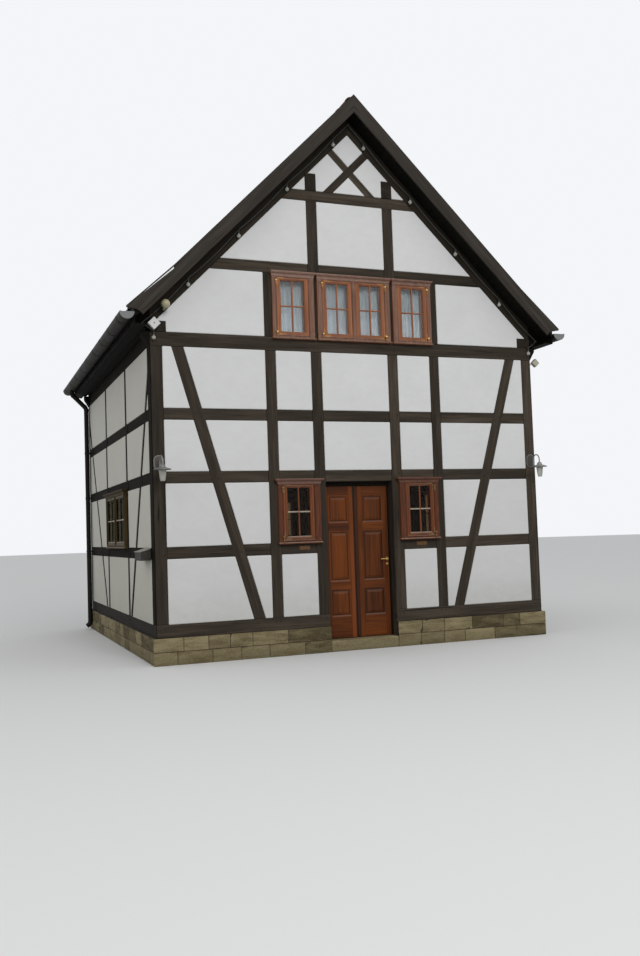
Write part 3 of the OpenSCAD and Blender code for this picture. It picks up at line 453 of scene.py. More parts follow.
def metal_look(name, dark, pale, roughness, metallic=0.0, scale=9.0, **values):
    k = Look(name, roughness, Metallic=metallic, **values)
    p = k.place()
    stain = k.noise(p, scale, 4.0, 0.6)
    k.colour(k.ramp(stain, (0.34, rgb(*dark)), (0.66, rgb(*pale))))
    k.rough(k.span(stain, 0.3, 0.7, roughness - 0.06, roughness + 0.10))
    k.bump((k.noise(p, scale * 12, 2.0), 0.08, 0.0005))
    return k


def gutter_look():
    """Dark coated sheet, with grey caps at the ends."""
    k = metal_look("brown_sheet", (24, 21, 16), (34, 30, 24), 0.55, Specular_IOR_Level=0.15)
    y = k.axes("Y")[0]
    k.over(k.above(k.size(y), 3.515), rgb(122, 124, 122))


def cable_look():
    """A dull green sheath. The sockets above the bulbs are nearly black."""
    k = metal_look("cable_sheath", (54, 61, 58), (72, 79, 75), 0.65)
    step, first, half, last = 0.763, 0.250, 0.014, 3.045
    x = k.size(k.axes("X")[0])
    row = k.math("MODULO", k.plus(x, step - first + half), step)
    k.over(k.most(k.below(row, 2 * half), k.band(x, last - half, last + half)), rgb(34, 35, 32))


def letterbox_look():
    """Coated sheet, with a painted highlight on the sloping lid and painted shade, nearly black, on the outer
    face.
    """
    k = metal_look("grey_sheet", (54, 51, 47), (68, 65, 60), 0.50, Specular_IOR_Level=0.1)
    lid_slope, lid_z = 0.303, 1.5985
    x, z = k.axes("XZ")
    out = k.minus(k.size(x), HALF_W + 0.005)
    normal = k.normal()
    # Painted shade on the faces that turn outwards
    outer = k.times(k.below(normal[0], -0.5), k.below(normal[2], 0.1))
    k.over(k.times(outer, 0.8), rgb(22, 19, 16))
    # Painted highlight on the sloping lid
    k.over(k.above(k.math("MULTIPLY_ADD", out, lid_slope, z), lid_z), rgb(140, 138, 131))


def wall_lamp_look():
    """Galvanised metal: a dark plate with a pale rim on the post, and a grey shade and neck."""
    k = metal_look("zinc", (108, 107, 103), (140, 138, 133), 0.42, metallic=0.45)
    plate_z, straight = 2.779, 0.034
    x, y, z = k.axes()
    across = k.minus(k.size(x), CORNER_X)
    along = k.most(k.minus(k.size(k.minus(z, plate_z)), straight), 0.0)
    reach = k.math("SQRT", k.plus(k.times(across, across), k.times(along, along)))
    rim = k.ramp(reach, (0.0, rgb(66, 62, 58)), (0.058, rgb(70, 66, 62)), (0.064, rgb(124, 122, 118)))
    k.over(k.above(y, -HALF_D - 0.0125), rim)


def eaves_lights_look():
    """Aged plastic: the round lamp, the sensor box and the floodlight each in their own colour."""
    k = metal_look("cream_plastic", (198, 197, 194), (212, 211, 208), 0.42)
    x, z = k.axes("XZ")
    stain = k.noise(k.place(), 9.0, 4.0, 0.6)
    k.over(k.above(z, 4.85), k.ramp(stain, (0.34, rgb(168, 161, 128)), (0.66, rgb(188, 181, 148))))
    k.over(k.above(x, 0.0), k.ramp(stain, (0.34, rgb(160, 157, 138)), (0.66, rgb(180, 177, 156))))


def glass_look(name, tint, roughness=0.02, clear_share=1.0, **values):
    """Glass that lets the lamps' light through to what stands behind it."""
    k = Look(name, roughness, Base_Color=tint, Transmission_Weight=clear_share, **values)
    shadow = k.node("ShaderNodeLightPath").outputs["Is Shadow Ray"]
    clear = k.node("ShaderNodeBsdfTransparent", (0, tint)).outputs[0]
    mixer = k.node("ShaderNodeMixShader", (0, shadow), (1, k.bsdf.outputs[0]), (2, clear))
    k.put(k.out.inputs[0], mixer.outputs[0])


def cloth_look():
    """Net curtain cloth, greyer in the shade near its top."""
    k = Look("curtain_net", 0.9, Sheen_Weight=0.25, Specular_IOR_Level=0.2)
    p = k.grain()
    u, v = k.split(p)[:2]
    threads = 5200.0
    weave = k.times(k.math("SINE", k.times(u, threads)), k.math("SINE", k.times(v, threads)))
    k.colour(k.ramp(k.noise(p, 6.0, 3.0), (0.35, rgb(176, 182, 186)), (0.65, rgb(190, 195, 198))))
    k.over(k.span(k.axes("Z")[0], 5.04, 5.12, 0.0, 0.75), rgb(144, 148, 148))
    k.over(k.span(weave, -1.0, 1.0, 0.0, 0.12), rgb(136, 142, 150))
    k.bump((weave, 0.25, 0.0004))


oak_look()
# Near-black oak for the door jambs: painted shade of the deep door recess
timber_look("jamb_oak_painted_shade", rgb(16, 14, 10), rgb(24, 21, 16), rgb(34, 30, 24))
timber_look("barge_wood", rgb(42, 38, 34), rgb(56, 51, 46), rgb(72, 67, 61), slope_grain)
# Nearly black boards under the roof and at the eaves: painted shade below the overhang
timber_look("boards_painted_shade", rgb(9, 8, 6), rgb(13, 12, 9), rgb(20, 18, 14))
boards_look()
plaster_look()
stone_look()
mortar_look()
flags_look()
clay_look()
window_look(
    "window_attic",
    ((90, 62, 50), (121, 88, 72), (146, 112, 94)),
    ((104, 58, 34), (148, 90, 56), (178, 116, 74)),
)
window_look(
    "window_ground",
    ((56, 26, 12), (84, 43, 22), (110, 62, 34)),
    ((76, 38, 18), (112, 62, 32), (140, 84, 48)),
    bleach_and_sky_light=0.75, crown_share=0.20,
)
# The side windows' wood: a darker, duller copy of the casement wood, painted shade for the shaded side walls
window_look(
    "window_painted_shade",
    ((48, 40, 24), (70, 58, 34), (92, 78, 50)),
    ((52, 42, 26), (76, 62, 38), (98, 82, 54)),
    bleach_and_sky_light=0.6, crown_share=0.0, gloss=0.05,
)
wood(
    "bleached_wood", rgb(136, 120, 104), rgb(168, 151, 134), rgb(190, 175, 158), joinery_grain,
    roughness=0.6, checks=0.2, fine=60.0,
)
door_look()
gutter_look()
metal_look("satin_brass", (190, 146, 78), (222, 182, 112), 0.30, metallic=1.0, scale=30.0)
metal_look("hinge_brass", (132, 86, 44), (176, 122, 66), 0.42, metallic=0.4, scale=30.0)
metal_look("aged_brass", (98, 68, 39), (136, 102, 62), 0.5, metallic=0.3, scale=30.0)
metal_look("bright_brass", (206, 164, 96), (232, 196, 130), 0.22, metallic=1.0, scale=30.0)
metal_look("plate_brass", (80, 54, 28), (106, 75, 42), 0.5, metallic=0.5, scale=30.0)
metal_look("pale_metal", (214, 215, 214), (232, 233, 232), 0.5)
metal_look("dark_lens", (16, 15, 14), (22, 21, 19), 0.25)
cable_look()
letterbox_look()
wall_lamp_look()
eaves_lights_look()
glass_look("pane_glass", (0.78, 0.81, 0.82, 1), IOR=1.48)
# Ground floor glass tinted dark brown: painted shade of the room behind it
glass_look("dark_pane", (0.60, 0.40, 0.22, 1), IOR=1.19)
glass_look("shaded_pane", (0.12, 0.11, 0.09, 1), IOR=1.19)
# Left wall glass tinted olive, with almost no reflection of its own: a painted reflection of green
# surroundings
glass_look("olive_pane", (0.40, 0.46, 0.18, 1), IOR=1.012)
glass_look("bulb_glass", rgb(188, 188, 178), 0.3, 0.4, IOR=1.48)
cloth_look()


# Pieces


def wall_place(wall):
    """Turns a point along a wall, its depth inwards and its height into the part's frame."""
    return {
        "front": lambda u, d, z: (u, d - HALF_D, z),
        "rear": lambda u, d, z: (-u, HALF_D - d, z),
        "left": lambda u, d, z: (d - HALF_W, u - HALF_D, z),
        "right": lambda u, d, z: (HALF_W - d, u - HALF_D, z),
    }[wall]


def across(u, d, z):
    """The place of an outline that lies across the house, with its depth along Y."""
    return (u, d, z)


def offset_edges(poly, amount):
    """A convex outline with every edge moved inwards."""
    turn = sum(
        poly[i - 1][0] * poly[i][1] - poly[i][0] * poly[i - 1][1] for i in range(len(poly))
    )
    sign = 1 if turn > 0 else -1
    lines = []
    for i, a in enumerate(poly):
        b = poly[(i + 1) % len(poly)]
        n = Vector((a[1] - b[1], b[0] - a[0])).normalized() * sign
        lines.append((n, n.dot(Vector(a)) + amount))
    out = []
    for i in range(len(poly)):
        (n1, c1), (n2, c2) = lines[i - 1], lines[i]
        det = n1.x * n2.y - n1.y * n2.x
        out.append(((c1 * n2.y - c2 * n1.y) / det, (n1.x * c2 - n2.x * c1) / det))
    return out


def clipped(poly, n, c):
    """The part of a convex outline where n . p <= c."""
    out = []
    for i, b in enumerate(poly):
        a = poly[i - 1]
        da, db = n[0] * a[0] + n[1] * a[1] - c, n[0] * b[0] + n[1] * b[1] - c
        if (da < 0) != (db < 0):
            t = da / (da - db)
            out.append((a[0] + (b[0] - a[0]) * t, a[1] + (b[1] - a[1]) * t))
        if db <= 0:
            out.append(b)
    return out


def circle(u, z, r, sides):
    turns = [k * math.tau / sides for k in range(sides)]
    return [(u + r * math.cos(a), z + r * math.sin(a)) for a in turns]


def rect(u0, u1, z0, z1):
    u0, u1 = sorted((u0, u1))
    return [(u0, z0), (u1, z0), (u1, z1), (u0, z1)]


def mirrored(poly):
    """An outline on the other side of the middle."""
    return [(-u, z) for u, z in reversed(poly)]


def sided(poly, side):
    """An outline given for the right side, on the side that is asked for."""
    return poly if side > 0 else mirrored(poly)


def skin(rows, columns, rings=True, loop=False):
    """Faces between rows of points. Rings close each row, and a loop joins the last row to the first."""
    faces = []
    for a in range(rows if loop else rows - 1):
        b = (a + 1) % rows
        for i in range(columns if rings else columns - 1):
            j = (i + 1) % columns
            faces.append([a * columns + i, a * columns + j, b * columns + j, b * columns + i])
    return faces


def caps(rows, columns):
    """The faces that close the first and the last ring."""
    return [list(range(columns)), list(range((rows - 1) * columns, rows * columns))[::-1]]


def sheet_faces(stations, n):
    """Faces of a bent sheet. Each station has n points on its outer side and then n on its inner one."""
    faces = []
    for o in (0, 2 * n * (stations - 1)):
        faces += [[o + i, o + n + i, o + n + i + 1, o + i + 1] for i in range(n - 1)]
    for k in range(stations - 1):
        o, p = 2 * n * k, 2 * n * (k + 1)
        for i in range(n - 1):
            faces.append([o + i, o + i + 1, p + i + 1, p + i])
            faces.append([o + n + i, p + n + i, p + n + i + 1, o + n + i + 1])
        faces += [[o, p, p + n, o + n], [o + n - 1, o + 2 * n - 1, p + 2 * n - 1, p + n - 1]]
    return faces


def shifts(reach):
    """Three random numbers that set one piece's grain apart from the next."""
    return [random.uniform(-reach, reach) for _ in range(3)]


class Stock:
    """A mesh in the making. Each point carries its place along the grain and its timber's tone."""

    def __init__(self):
        self.points, self.faces, self.grain, self.tone, self.slots, self.smooth = [], [], [], [], [], []

    def add(self, points, faces, grain=None, tone=0.5, slot=0, smooth=False):
        first = len(self.points)
        self.points += [tuple(p) for p in points]
        self.faces += [[first + i for i in f] for f in faces]
        self.grain += [tuple(g) for g in (grain or points)]
        self.tone += [tone] * len(points)
        self.slots += [slot] * len(faces)
        self.smooth += [smooth] * len(faces)

    def mesh(self, name):
        m = bpy.data.meshes.new(name)
        m.from_pydata(self.points, [], self.faces)
        grain = m.attributes.new("grain", "FLOAT_VECTOR", "POINT")
        grain.data.foreach_set("vector", [c for g in self.grain for c in g])
        m.attributes.new("tone", "FLOAT", "POINT").data.foreach_set("value", self.tone)
        m.polygons.foreach_set("material_index", self.slots)
        m.polygons.foreach_set("use_smooth", self.smooth)
        return m

    def piece(self, name, materials, slot, replaces=(), body="house", solid=True):
        """The finished piece. The faces of a solid one are turned outwards."""
        m = self.mesh(name)
        if solid:
            bm = bmesh.new()
            bm.from_mesh(m)
            bmesh.ops.recalc_face_normals(bm, faces=bm.faces)
            bm.to_mesh(m)
            bm.free()
        return settle(bpy.data.objects.new(name, m), materials, slot, replaces, body)


def settle(obj, materials, slot, replaces=(), body="house"):
    """Links a piece, gives it its materials and says what it stands for."""
    bpy.context.scene.collection.objects.link(obj)
    for m in materials:
        obj.data.materials.append(looks[m])
    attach(obj, body)
    if replaces:
        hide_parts(*replaces)
    return obj


def smooth_by_angle(obj, degrees=40):
    """Smooth shading, with the sharp edges kept."""
    for p in obj.data.polygons:
        p.use_smooth = True
    obj.data.set_sharp_from_angle(angle=math.radians(degrees))


def prism(stock, poly, d0, d1, place, along, arris=0.006, slot=0, tone=None, back=True):
    """A convex outline between two depths, with a worn arris round its outer face.

    With back there is one round its inner face too.
    """
    if len(poly) < 3:
        return
    a = Vector(along).normalized()
    shift = shifts(40)
    tone = random.random() if tone is None else tone
    small = offset_edges(poly, arris)
    rows = [(small, d0), (poly, d0 + arris)]
    rows += [(poly, d1 - arris), (small, d1)] if back else [(poly, d1)]
    points, grain = [], []
    for outline, d in rows:
        for u, z in outline:
            points.append(place(u, d, z))
            grain.append((u * a.x + z * a.y + shift[0], -u * a.y + z * a.x + shift[1], d + shift[2]))
    n = len(poly)
    stock.add(points, caps(len(rows), n) + skin(len(rows), n), grain, tone, slot)


def deep_prism(stock, *values, **choices):
    """A prism whose grain runs with its depth."""
    first = len(stock.grain)
    prism(stock, *values, **choices)
    stock.grain[first:] = [(g[2], g[0], g[1]) for g in stock.grain[first:]]


# The timber frame


def under_roof(poly):
    """Cuts an outline at the underside of the rafters."""
    return clipped(clipped(poly, (1, 1), APEX_Z), (-1, 1), APEX_Z)


def lift(x):
    """How far the upper roof layers rise over the straight slope, towards the eaves."""
    return max(0.0, x - KICK_X) * KICK_RISE / (TAIL_X - KICK_X)


def slope_z(x, up):
    return APEX_Z - x + up * ROOT2 + lift(x)


def rafter_outline():
    """The right rafter, straight below, with its tail cut level."""
    outline = [(0, APEX_Z), (TAIL_X, APEX_Z - TAIL_X)]
    outline += [(x, slope_z(x, RAFTER_H)) for x in (TAIL_X, KICK_X, 0)]
    return clipped(outline, (0, -1), -TAIL_Z)


def post(stock, place, x, w, z0, z1):
    prism(stock, rect(x - w / 2, x + w / 2, z0 + SEAM, z1 - SEAM), 0, WALL, place, UP)


def rail(stock, place, a, b, z):
    a, b = sorted((a, b))
    prism(stock, rect(a + SEAM, b - SEAM, z, z + RAIL_H), RAIL_BACK, WALL, place, LEVEL)


def beam(stock, place, a, b, z0, z1):
    prism(stock, rect(a, b, z0, z1), 0, WALL, place, LEVEL)


def leaning(foot, head):
    """A brace from sill to tie beam, by the middles of its two ends."""
    h = BRACE_W / 2
    return [(foot - h, SILL_TOP), (foot + h, SILL_TOP), (head + h, TIE_Z), (head - h, TIE_Z)]


def wall_timbers(stock, place, door=True):
    """Posts, braces, rails and sill of a gable wall below the tie beam."""
    for side in (-1, 1):
        for x, w in ((CORNER_X, CORNER_W), (OUTER_X, OUTER_W), (INNER_X, INNER_W)):
            post(stock, place, side * x, w, SILL_TOP, TIE_Z)
        lean = sided(leaning(BRACE_FOOT_X, BRACE_HEAD_X), side)
        along = (side * (BRACE_HEAD_X - BRACE_FOOT_X), TIE_Z - SILL_TOP)
        prism(stock, lean, BRACE_BACK, WALL, place, along)
        for z in RAILS:
            for a, b in FIELDS:
                rail(stock, place, side * a, side * b, z)
        if door:
            beam(stock, place, side * DOOR_HALF, side * HALF_W, SILL_Z, SILL_TOP)
    for z in RAILS[1:] if door else RAILS:
        rail(stock, place, -DOOR_HALF, DOOR_HALF, z)
    if not door:
        beam(stock, place, -HALF_W, HALF_W, SILL_Z, SILL_TOP)


def gable_timbers(stock, place):
    """Everything of a gable wall above the tie beam, apart from the purlin ends."""
    foot = [(APEX_Z - TIE_TOP, TIE_TOP), (TIE_END_X, TIE_TOP), (TIE_END_X, TAIL_Z), (APEX_Z - TAIL_Z, TAIL_Z)]
    for side in (-1, 1):
        post(stock, place, side * INNER_X, INNER_W, TIE_TOP, COLLAR_Z)
        post(stock, place, side * OUTER_X, OUTER_W, TIE_TOP, GABLE_RAIL_Z)
        outer = under_roof(rect(FIELDS[0][0] + SEAM, HALF_W, GABLE_RAIL_Z, GABLE_RAIL_Z + RAIL_H))
        prism(stock, sided(outer, side), RAIL_BACK, WALL, place, LEVEL)
        for part in (rafter_outline(), foot):
            prism(stock, sided(part, side), 0.001, WALL, place, (side, -1), tone=PAINTED_SHADE_TONE)
    rail(stock, place, -DOOR_HALF, DOOR_HALF, GABLE_RAIL_Z)
    collar = under_roof(rect(-HALF_W, HALF_W, COLLAR_Z, COLLAR_Z + RAIL_H))
    prism(stock, collar, RAIL_BACK, WALL, place, LEVEL)
    h, r = CROSS_W / ROOT2, 3.0
    for side, back in ((1, BRACE_BACK), (-1, BRACE_BACK + 0.0015)):
        bar = [(-r, CROSS_Z - r - h), (r, CROSS_Z + r - h), (r, CROSS_Z + r + h), (-r, CROSS_Z - r + h)]
        bar = under_roof(clipped(bar, (0, -1), -(COLLAR_Z + RAIL_H)))
        prism(stock, sided(bar, side), back, WALL, place, (side, 1), arris=0.005)


def side_timbers(stock, place):
    """Everything of a side wall. Its braces end at the inner faces of the gable walls."""
    for u in SIDE_POSTS:
        post(stock, place, u, OUTER_W, SILL_TOP, TIE_Z)
    for foot, head in SIDE_BRACES:
        lean = clipped(clipped(leaning(foot, head), (-1, 0), -WALL), (1, 0), SIDE_END)
        prism(stock, lean, BRACE_BACK, WALL, place, (head - foot, TIE_Z - SILL_TOP))
    stops = [WALL] + [u + k * OUTER_W / 2 for u in SIDE_POSTS for k in (-1, 1)] + [SIDE_END]
    for z in RAILS:
        for a, b in (stops[0:2], stops[2:4], stops[4:6]):
            rail(stock, place, a, b, z)
    beam(stock, place, WALL, SIDE_END, SILL_Z, SILL_TOP)
    beam(stock, place, WALL, SIDE_END, TIE_Z, TIE_TOP)


def tie_beam(stock, place):
    ends = [(HALF_W, TIE_Z), (TIE_END_X, 4.560), (TIE_END_X, TIE_TOP)]
    prism(stock, ends + [(-x, z) for x, z in reversed(ends)], 0, WALL, place, LEVEL, tone=0.5)


def rear_timbers(stock, place):
    wall_timbers(stock, place, door=False)
    tie_beam(stock, place)


def purlins(stock):
    """They run through both gables, and their ends stand a little proud."""
    proud = HALF_D + 0.010
    for side in (-1, 1):
        for x0, x1, z0, z1 in ((2.865, HALF_W, TIE_TOP, TIE_TOP + 0.148), (0.541, 0.713, 6.856, 7.115)):
            outline = rect(side * x0, side * x1, z0, z1)
            deep_prism(stock, outline, -proud, proud, across, UP, tone=PAINTED_SHADE_TONE)


def rafters(stock):
    """Six pairs between the gables."""
    inner_d, count, w = 2 * (HALF_D - WALL), 6, 0.12
    for k in range(1, count + 1):
        d = -inner_d / 2 + k * inner_d / (count + 1) - w / 2
        for side in (-1, 1):
            prism(stock, sided(rafter_outline(), side), d, d + w, across, (side, -1))


def attic_beams(stock):
    end = HALF_W - WALL
    for u in SIDE_POSTS:
        outline = rect(u - OUTER_W / 2, u + OUTER_W / 2, 4.420, 4.580)
        prism(stock, outline, -end, end, lambda a, d, z: (d, a - HALF_D, z), UP)


def timbers():
    """Each piece's name, what makes it, its wall if it has one, and the nodes that it stands for."""
    for name, build, wall, *replaced in (
        (
            "timbers_front_wall", wall_timbers, "front",
            "front_frame_left", "front_frame_right", "front_frame_over_door",
        ),
        ("timber_front_tie_beam", tie_beam, "front", "front_tie_beam"),
        ("timbers_front_gable", gable_timbers, "front", "front_gable_frame"),
        ("timbers_rear_wall", rear_timbers, "rear", "rear_frame"),
        ("timbers_rear_gable", gable_timbers, "rear", "rear_gable_frame"),
        ("timbers_left_wall", side_timbers, "left", "left_frame"),
        ("timbers_right_wall", side_timbers, "right", "right_frame"),
        ("timbers_purlins", purlins, None, "purlins"),
        ("timbers_rafters", rafters, None, "rafters_left", "rafters_right"),
        ("timbers_attic_beams", attic_beams, None, "attic_beams"),
    ):
        s = Stock()
        if wall:
            build(s, wall_place(wall))
        else:
            build(s)
        s.piece(name, ["timber_oak"], "timber", replaced)


def peg(stock, u, z, d, place):
    """A peg of slightly uneven tone, standing 5 mm proud with a rounded rim."""
    r, proud, rim, sides = 0.0115, 0.005, 0.002, 10
    rows = [(r, d + 0.02), (r, d - proud + rim), (r - rim, d - proud)]
    pts = [place(a, depth, b) for q, depth in rows for a, b in circle(u, z, q, sides)]
    shift = random.uniform(-40, 40)
    grain = [(p[1] + shift, p[0], p[2]) for p in pts]
    stock.add(pts, [caps(3, sides)[1]] + skin(3, sides), grain, random.uniform(0.0, 0.35))


def gable_wall_joints():
    """The pegs of a gable wall: their places and the depth of the face that they stand on."""
    over_tie, over_sill, apart, from_edge = 0.055, 0.125, 0.034, 0.036
    for side in (-1, 1):
        for x in (CORNER_X, OUTER_X, INNER_X):
            for z in (TIE_Z + over_tie, SILL_Z + over_sill):
                for k in (-1, 1):
                    yield side * x + apart * k, z, 0.0
        for z in RAILS:
            for x, w in ((OUTER_X, OUTER_W), (INNER_X, INNER_W), (CORNER_X, CORNER_W)):
                for k in (-1, 1):
                    if x != CORNER_X or k < 0:
                        yield side * (x + k * (w / 2 - from_edge)), z + RAIL_H / 2 + 0.03 * k, 0.0
        for x in (OUTER_X, INNER_X):
            yield side * x, TIE_Z + 0.150, 0.0
        yield side * INNER_X, COLLAR_Z + 0.07, RAIL_BACK
        yield side * OUTER_X, GABLE_RAIL_Z + 0.07, RAIL_BACK
        yield side * 1.64, SILL_Z + 0.12, 0.0
        yield side * 2.69, TIE_Z + over_tie, 0.0
        for z in RAILS:
            share = (z + RAIL_H / 2 - SILL_TOP) / (TIE_Z - SILL_TOP)
            x = BRACE_FOOT_X + share * (BRACE_HEAD_X - BRACE_FOOT_X)
            for k in (-1, 1):
                yield side * (x + 0.03 * k), z + RAIL_H / 2 + 0.02 * k, BRACE_BACK


def pegs():
    """Oak pegs at the joints of the four walls, in most places two to a joint."""
    for wall in ("front", "rear"):
        s = Stock()
        for u, z, d in gable_wall_joints():
            peg(s, u, z, d, wall_place(wall))
        s.piece("pegs_" + wall, ["timber_oak"], "timber")
    s = Stock()
    for wall in ("left", "right"):
        for u in SIDE_POSTS:
            for z in (*RAILS, SILL_Z, TIE_Z):
                for k in (-1, 1):
                    peg(s, u + 0.045 * k, z + 0.085 + 0.03 * k, 0.0, wall_place(wall))
    s.piece("pegs_sides", ["timber_oak"], "timber")


# Infill, plinth and roof


def copied(node, name, width, segments, materials, slot, angle=30):
    """A copy of a CAD node with its corners rounded, which then stands for it."""
    cad, weld, flat = nodes[node], 2e-5, math.radians(0.4)
    bm = bmesh.new()
    bm.from_mesh(cad.data)
    bmesh.ops.remove_doubles(bm, verts=bm.verts, dist=weld)
    bmesh.ops.dissolve_limit(bm, angle_limit=flat, verts=bm.verts, edges=bm.edges)
    sharp = [e for e in bm.edges if e.is_manifold and e.calc_face_angle(0) > math.radians(angle)]
    bmesh.ops.bevel(
        bm, geom=sharp, offset=width, segments=segments, profile=0.5, affect="EDGES", clamp_overlap=True
    )
    tones = bm.verts.layers.float.new("tone")
    grain = bm.verts.layers.float_vector.new("grain")
    seen = set()
    for start in bm.verts:
        if start in seen:
            continue
        tone, shift, heap = random.random(), Vector(shifts(20)), [start]
        seen.add(start)
        while heap:
            v = heap.pop()
            v[tones] = tone
            v[grain] = v.co + shift
            for o in [e.other_vert(v) for e in v.link_edges]:
                if o not in seen:
                    seen.add(o)
                    heap.append(o)
    m = bpy.data.meshes.new(name)
    bm.to_mesh(m)
    bm.free()
    m.polygons.foreach_set("use_smooth", [False] * len(m.polygons))
    return settle(bpy.data.objects.new(name, m), materials, slot, (node,), cad["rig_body"])


def plaster():
    for node in ("front_infill", "front_gable_infill", "rear_infill", "left_infill", "right_infill"):
        copied(node, "plaster_" + node.replace("_infill", ""), 0.011, 2, ["lime_plaster"], "plaster")


def stone(stock, u0, u1, z0, z1, place, proud):
    """One stone with a rough, uneven face, its edges 7 mm behind the rest."""
    nu, nz = max(3, int((u1 - u0) / 0.07)), 4
    edge, back = 0.007, 0.03
    seed = Vector(shifts(50))
    tone = random.random()

    def uneven(u, z, scale, depth):
        return noise.noise(seed + Vector((u * scale, z * scale, depth)))

    pts = []
    for j in range(nz + 1):
        for i in range(nu + 1):
            u, z = u0 + (u1 - u0) * i / nu, z0 + (z1 - z0) * j / nz
            inside_u, inside_z = 0 < i < nu, 0 < j < nz
            rough = 0.006 * uneven(u, z, 9, 0) + 0.003 * uneven(u, z, 31, 5)
            pull = 0.0 if inside_u and inside_z else edge
            stray = 0.0035 * uneven(u, z, 6, 9)
            pts.append((u + stray * inside_u, -proud + pull - rough, z + stray * inside_z))
    n, across_u = len(pts), nu + 1
    rim = [i for i in range(across_u)] + [j * across_u + nu for j in range(1, nz + 1)]
    rim += [nz * across_u + i for i in range(nu - 1, -1, -1)] + [j * across_u for j in range(nz - 1, 0, -1)]
    m = len(rim)
    pts += [(pts[v][0], back, pts[v][2]) for v in rim]
    faces = skin(nz + 1, across_u, rings=False)
    faces += [[rim[k], rim[(k + 1) % m], n + (k + 1) % m, n + k] for k in range(m)]
    faces.append(list(range(n, n + m))[::-1])
    stock.add([place(*p) for p in pts], faces, None, tone)


def stone_rows():
    """The plinth's two courses, laid in front of its mortar core, with rough faces."""
    courses = ((0.002, 0.176), (0.186, 0.369))
    half_w, half_d, door = 3.142, 3.226, 0.541
    for wall, shift, runs in (
        ("front", 0, ((-half_w, -door), (door, half_w))),
        ("rear", 0, ((-half_w, half_w),)),
        ("left", HALF_D, ((-half_d, half_d),)),
        ("right", HALF_D, ((-half_d, half_d),)),
    ):
        at = wall_place(wall)
        place = lambda u, d, z: at(u + shift, d - PLINTH_OUT, z)
        s = Stock()
        for a, b in runs:
            for z0, z1 in courses:
                u = a
                while u < b - 0.02:
                    step = random.uniform(0.30, 0.58)
                    end = u + step if b - (u + step) > 0.26 else b
                    joint = 0.010 if end < b else 0
                    stone(s, u, end - joint, z0, z1, place, random.uniform(0.008, 0.012))
                    u = end
        s.piece("plinth_stones_" + wall, ["sandstone"], "sandstone")


def pantile_wave(v):
    """The height of a pantile across its width: a trough, a roll and the lip over the next one."""
    trough, roll, pan = 0.012, 0.021, 0.60
    if v < pan:
        return trough * (1 - math.sin(math.pi * v / pan))
    if v <= 1.0:
        return trough + roll * math.sin(math.pi * (v - pan) / (1 - pan))
    return trough + 0.004 - 0.08 * (v - 1.0)


def pantiles():
    """Interlocking clay pantiles on both slopes, laid in courses that overlap downwards."""
    courses, columns, steps = 14, 33, 9
    foot_gap, bend_gap = 0.064, 0.02
    run, bend = TILE_X * ROOT2 - foot_gap, KICK_X * ROOT2 - bend_gap
    gauge, width = run / courses, 2 * VERGE_Y / columns
    lap, t, rest = 0.075, 0.012, 0.001
    base = APEX_Z + (RAFTER_H + DECK_H) * ROOT2
    for name, side in (("left", -1), ("right", 1)):
        s = Stock()
        for c in range(courses):
            low = run - c * gauge
            high = max(low - gauge - lap, 0.03)
            for j in range(columns):
                tone = random.random()
                tail = 0.0145 + random.uniform(-0.0015, 0.0015)
                end = low - random.uniform(0, 0.004)
                last = 1.0 if j == columns - 1 else 1.05
                stations = [(tail, end), (rest, high)]
                if high < bend < end:
                    share = (end - bend) / (end - high)
                    stations.insert(1, (tail * (1 - share) + rest * share, bend))
                pts = []
                for rise, at in stations:
                    for layer in (t, 0.0):
                        for i in range(steps + 1):
                            v = last * i / steps
                            h = min(pantile_wave(v) + rise + layer, TILE_H - 0.0005)
                            x, y = (at + h) / ROOT2, -VERGE_Y + (j + v) * width
                            pts.append((side * x, y, base + (h - at) / ROOT2 + lift(x)))
                s.add(pts, sheet_faces(len(stations), steps + 1), None, tone)
        smooth_by_angle(s.piece("pantiles_" + name, ["red_clay"], "clay_tiles", ("tiles_" + name,)))


def ridge():
    """Half round ridge tiles bedded in mortar, each lapping over the next."""
    count, start, z0, segments = 18, -3.42, 8.172, 14
    length = -2 * start / count
    s = Stock()
    for k in range(count):
        tone = random.random()
        stations = ((0.0, 0.1095), (0.035, 0.1095), (0.045, 0.1045), (length - 0.002, 0.100))
        pts = []
        for dy, r in stations:
            for q in (r, r - 0.012):
                for i in range(segments + 1):
                    a = math.radians(-32 + 244 * i / segments)
                    pts.append((q * math.cos(a), start + k * length + dy, z0 + q * math.sin(a)))
        s.add(pts, sheet_faces(len(stations), segments + 1), None, tone)
    half = [(0.088, 8.112), (0.092, 8.167), (0.060, 8.232)]
    prism(s, half + mirrored(half), -3.405, 3.405, across, UP, slot=1)
    smooth_by_angle(s.piece("ridge_caps", ["red_clay", "mortar"], "clay_tiles", ("ridge_tiles",)))


def roof_boards():
    """Boards on the rafters with open joints seen from below, and the battens' layer above them."""
    t, w, joint = 0.024, 0.139, 0.003
    start, end = 0.004, TAIL_X * ROOT2 - RAFTER_H - t
    rows = int((end - start) / w)
    step = (end - start) / rows
    for name, side in (("left", -1), ("right", 1)):
        s = Stock()

        def place(u, d, h):
            x = (u + h) / ROOT2
            return (side * x, d, APEX_Z + (h - u) / ROOT2 + lift(x))

        for k in range(rows):
            board = rect(start + k * step, start + (k + 1) * step - joint, RAFTER_H, RAFTER_H + t)
            deep_prism(s, board, -VERGE_Y, VERGE_Y, place, LEVEL, arris=0.004)
        xs = (0.012, KICK_X, TAIL_X - 0.002)
        layer = [(x, slope_z(x, RAFTER_H + t)) for x in xs]
        layer += [(x, slope_z(x, RAFTER_H + DECK_H)) for x in reversed(xs)]
        prism(s, sided(layer, side), -VERGE_Y + 0.002, VERGE_Y - 0.002, across, (side, -1), arris=0.003)
        s.piece("roof_boards_" + name, ["boards_painted_shade"], "roof_boards", ("roof_deck_" + name,))


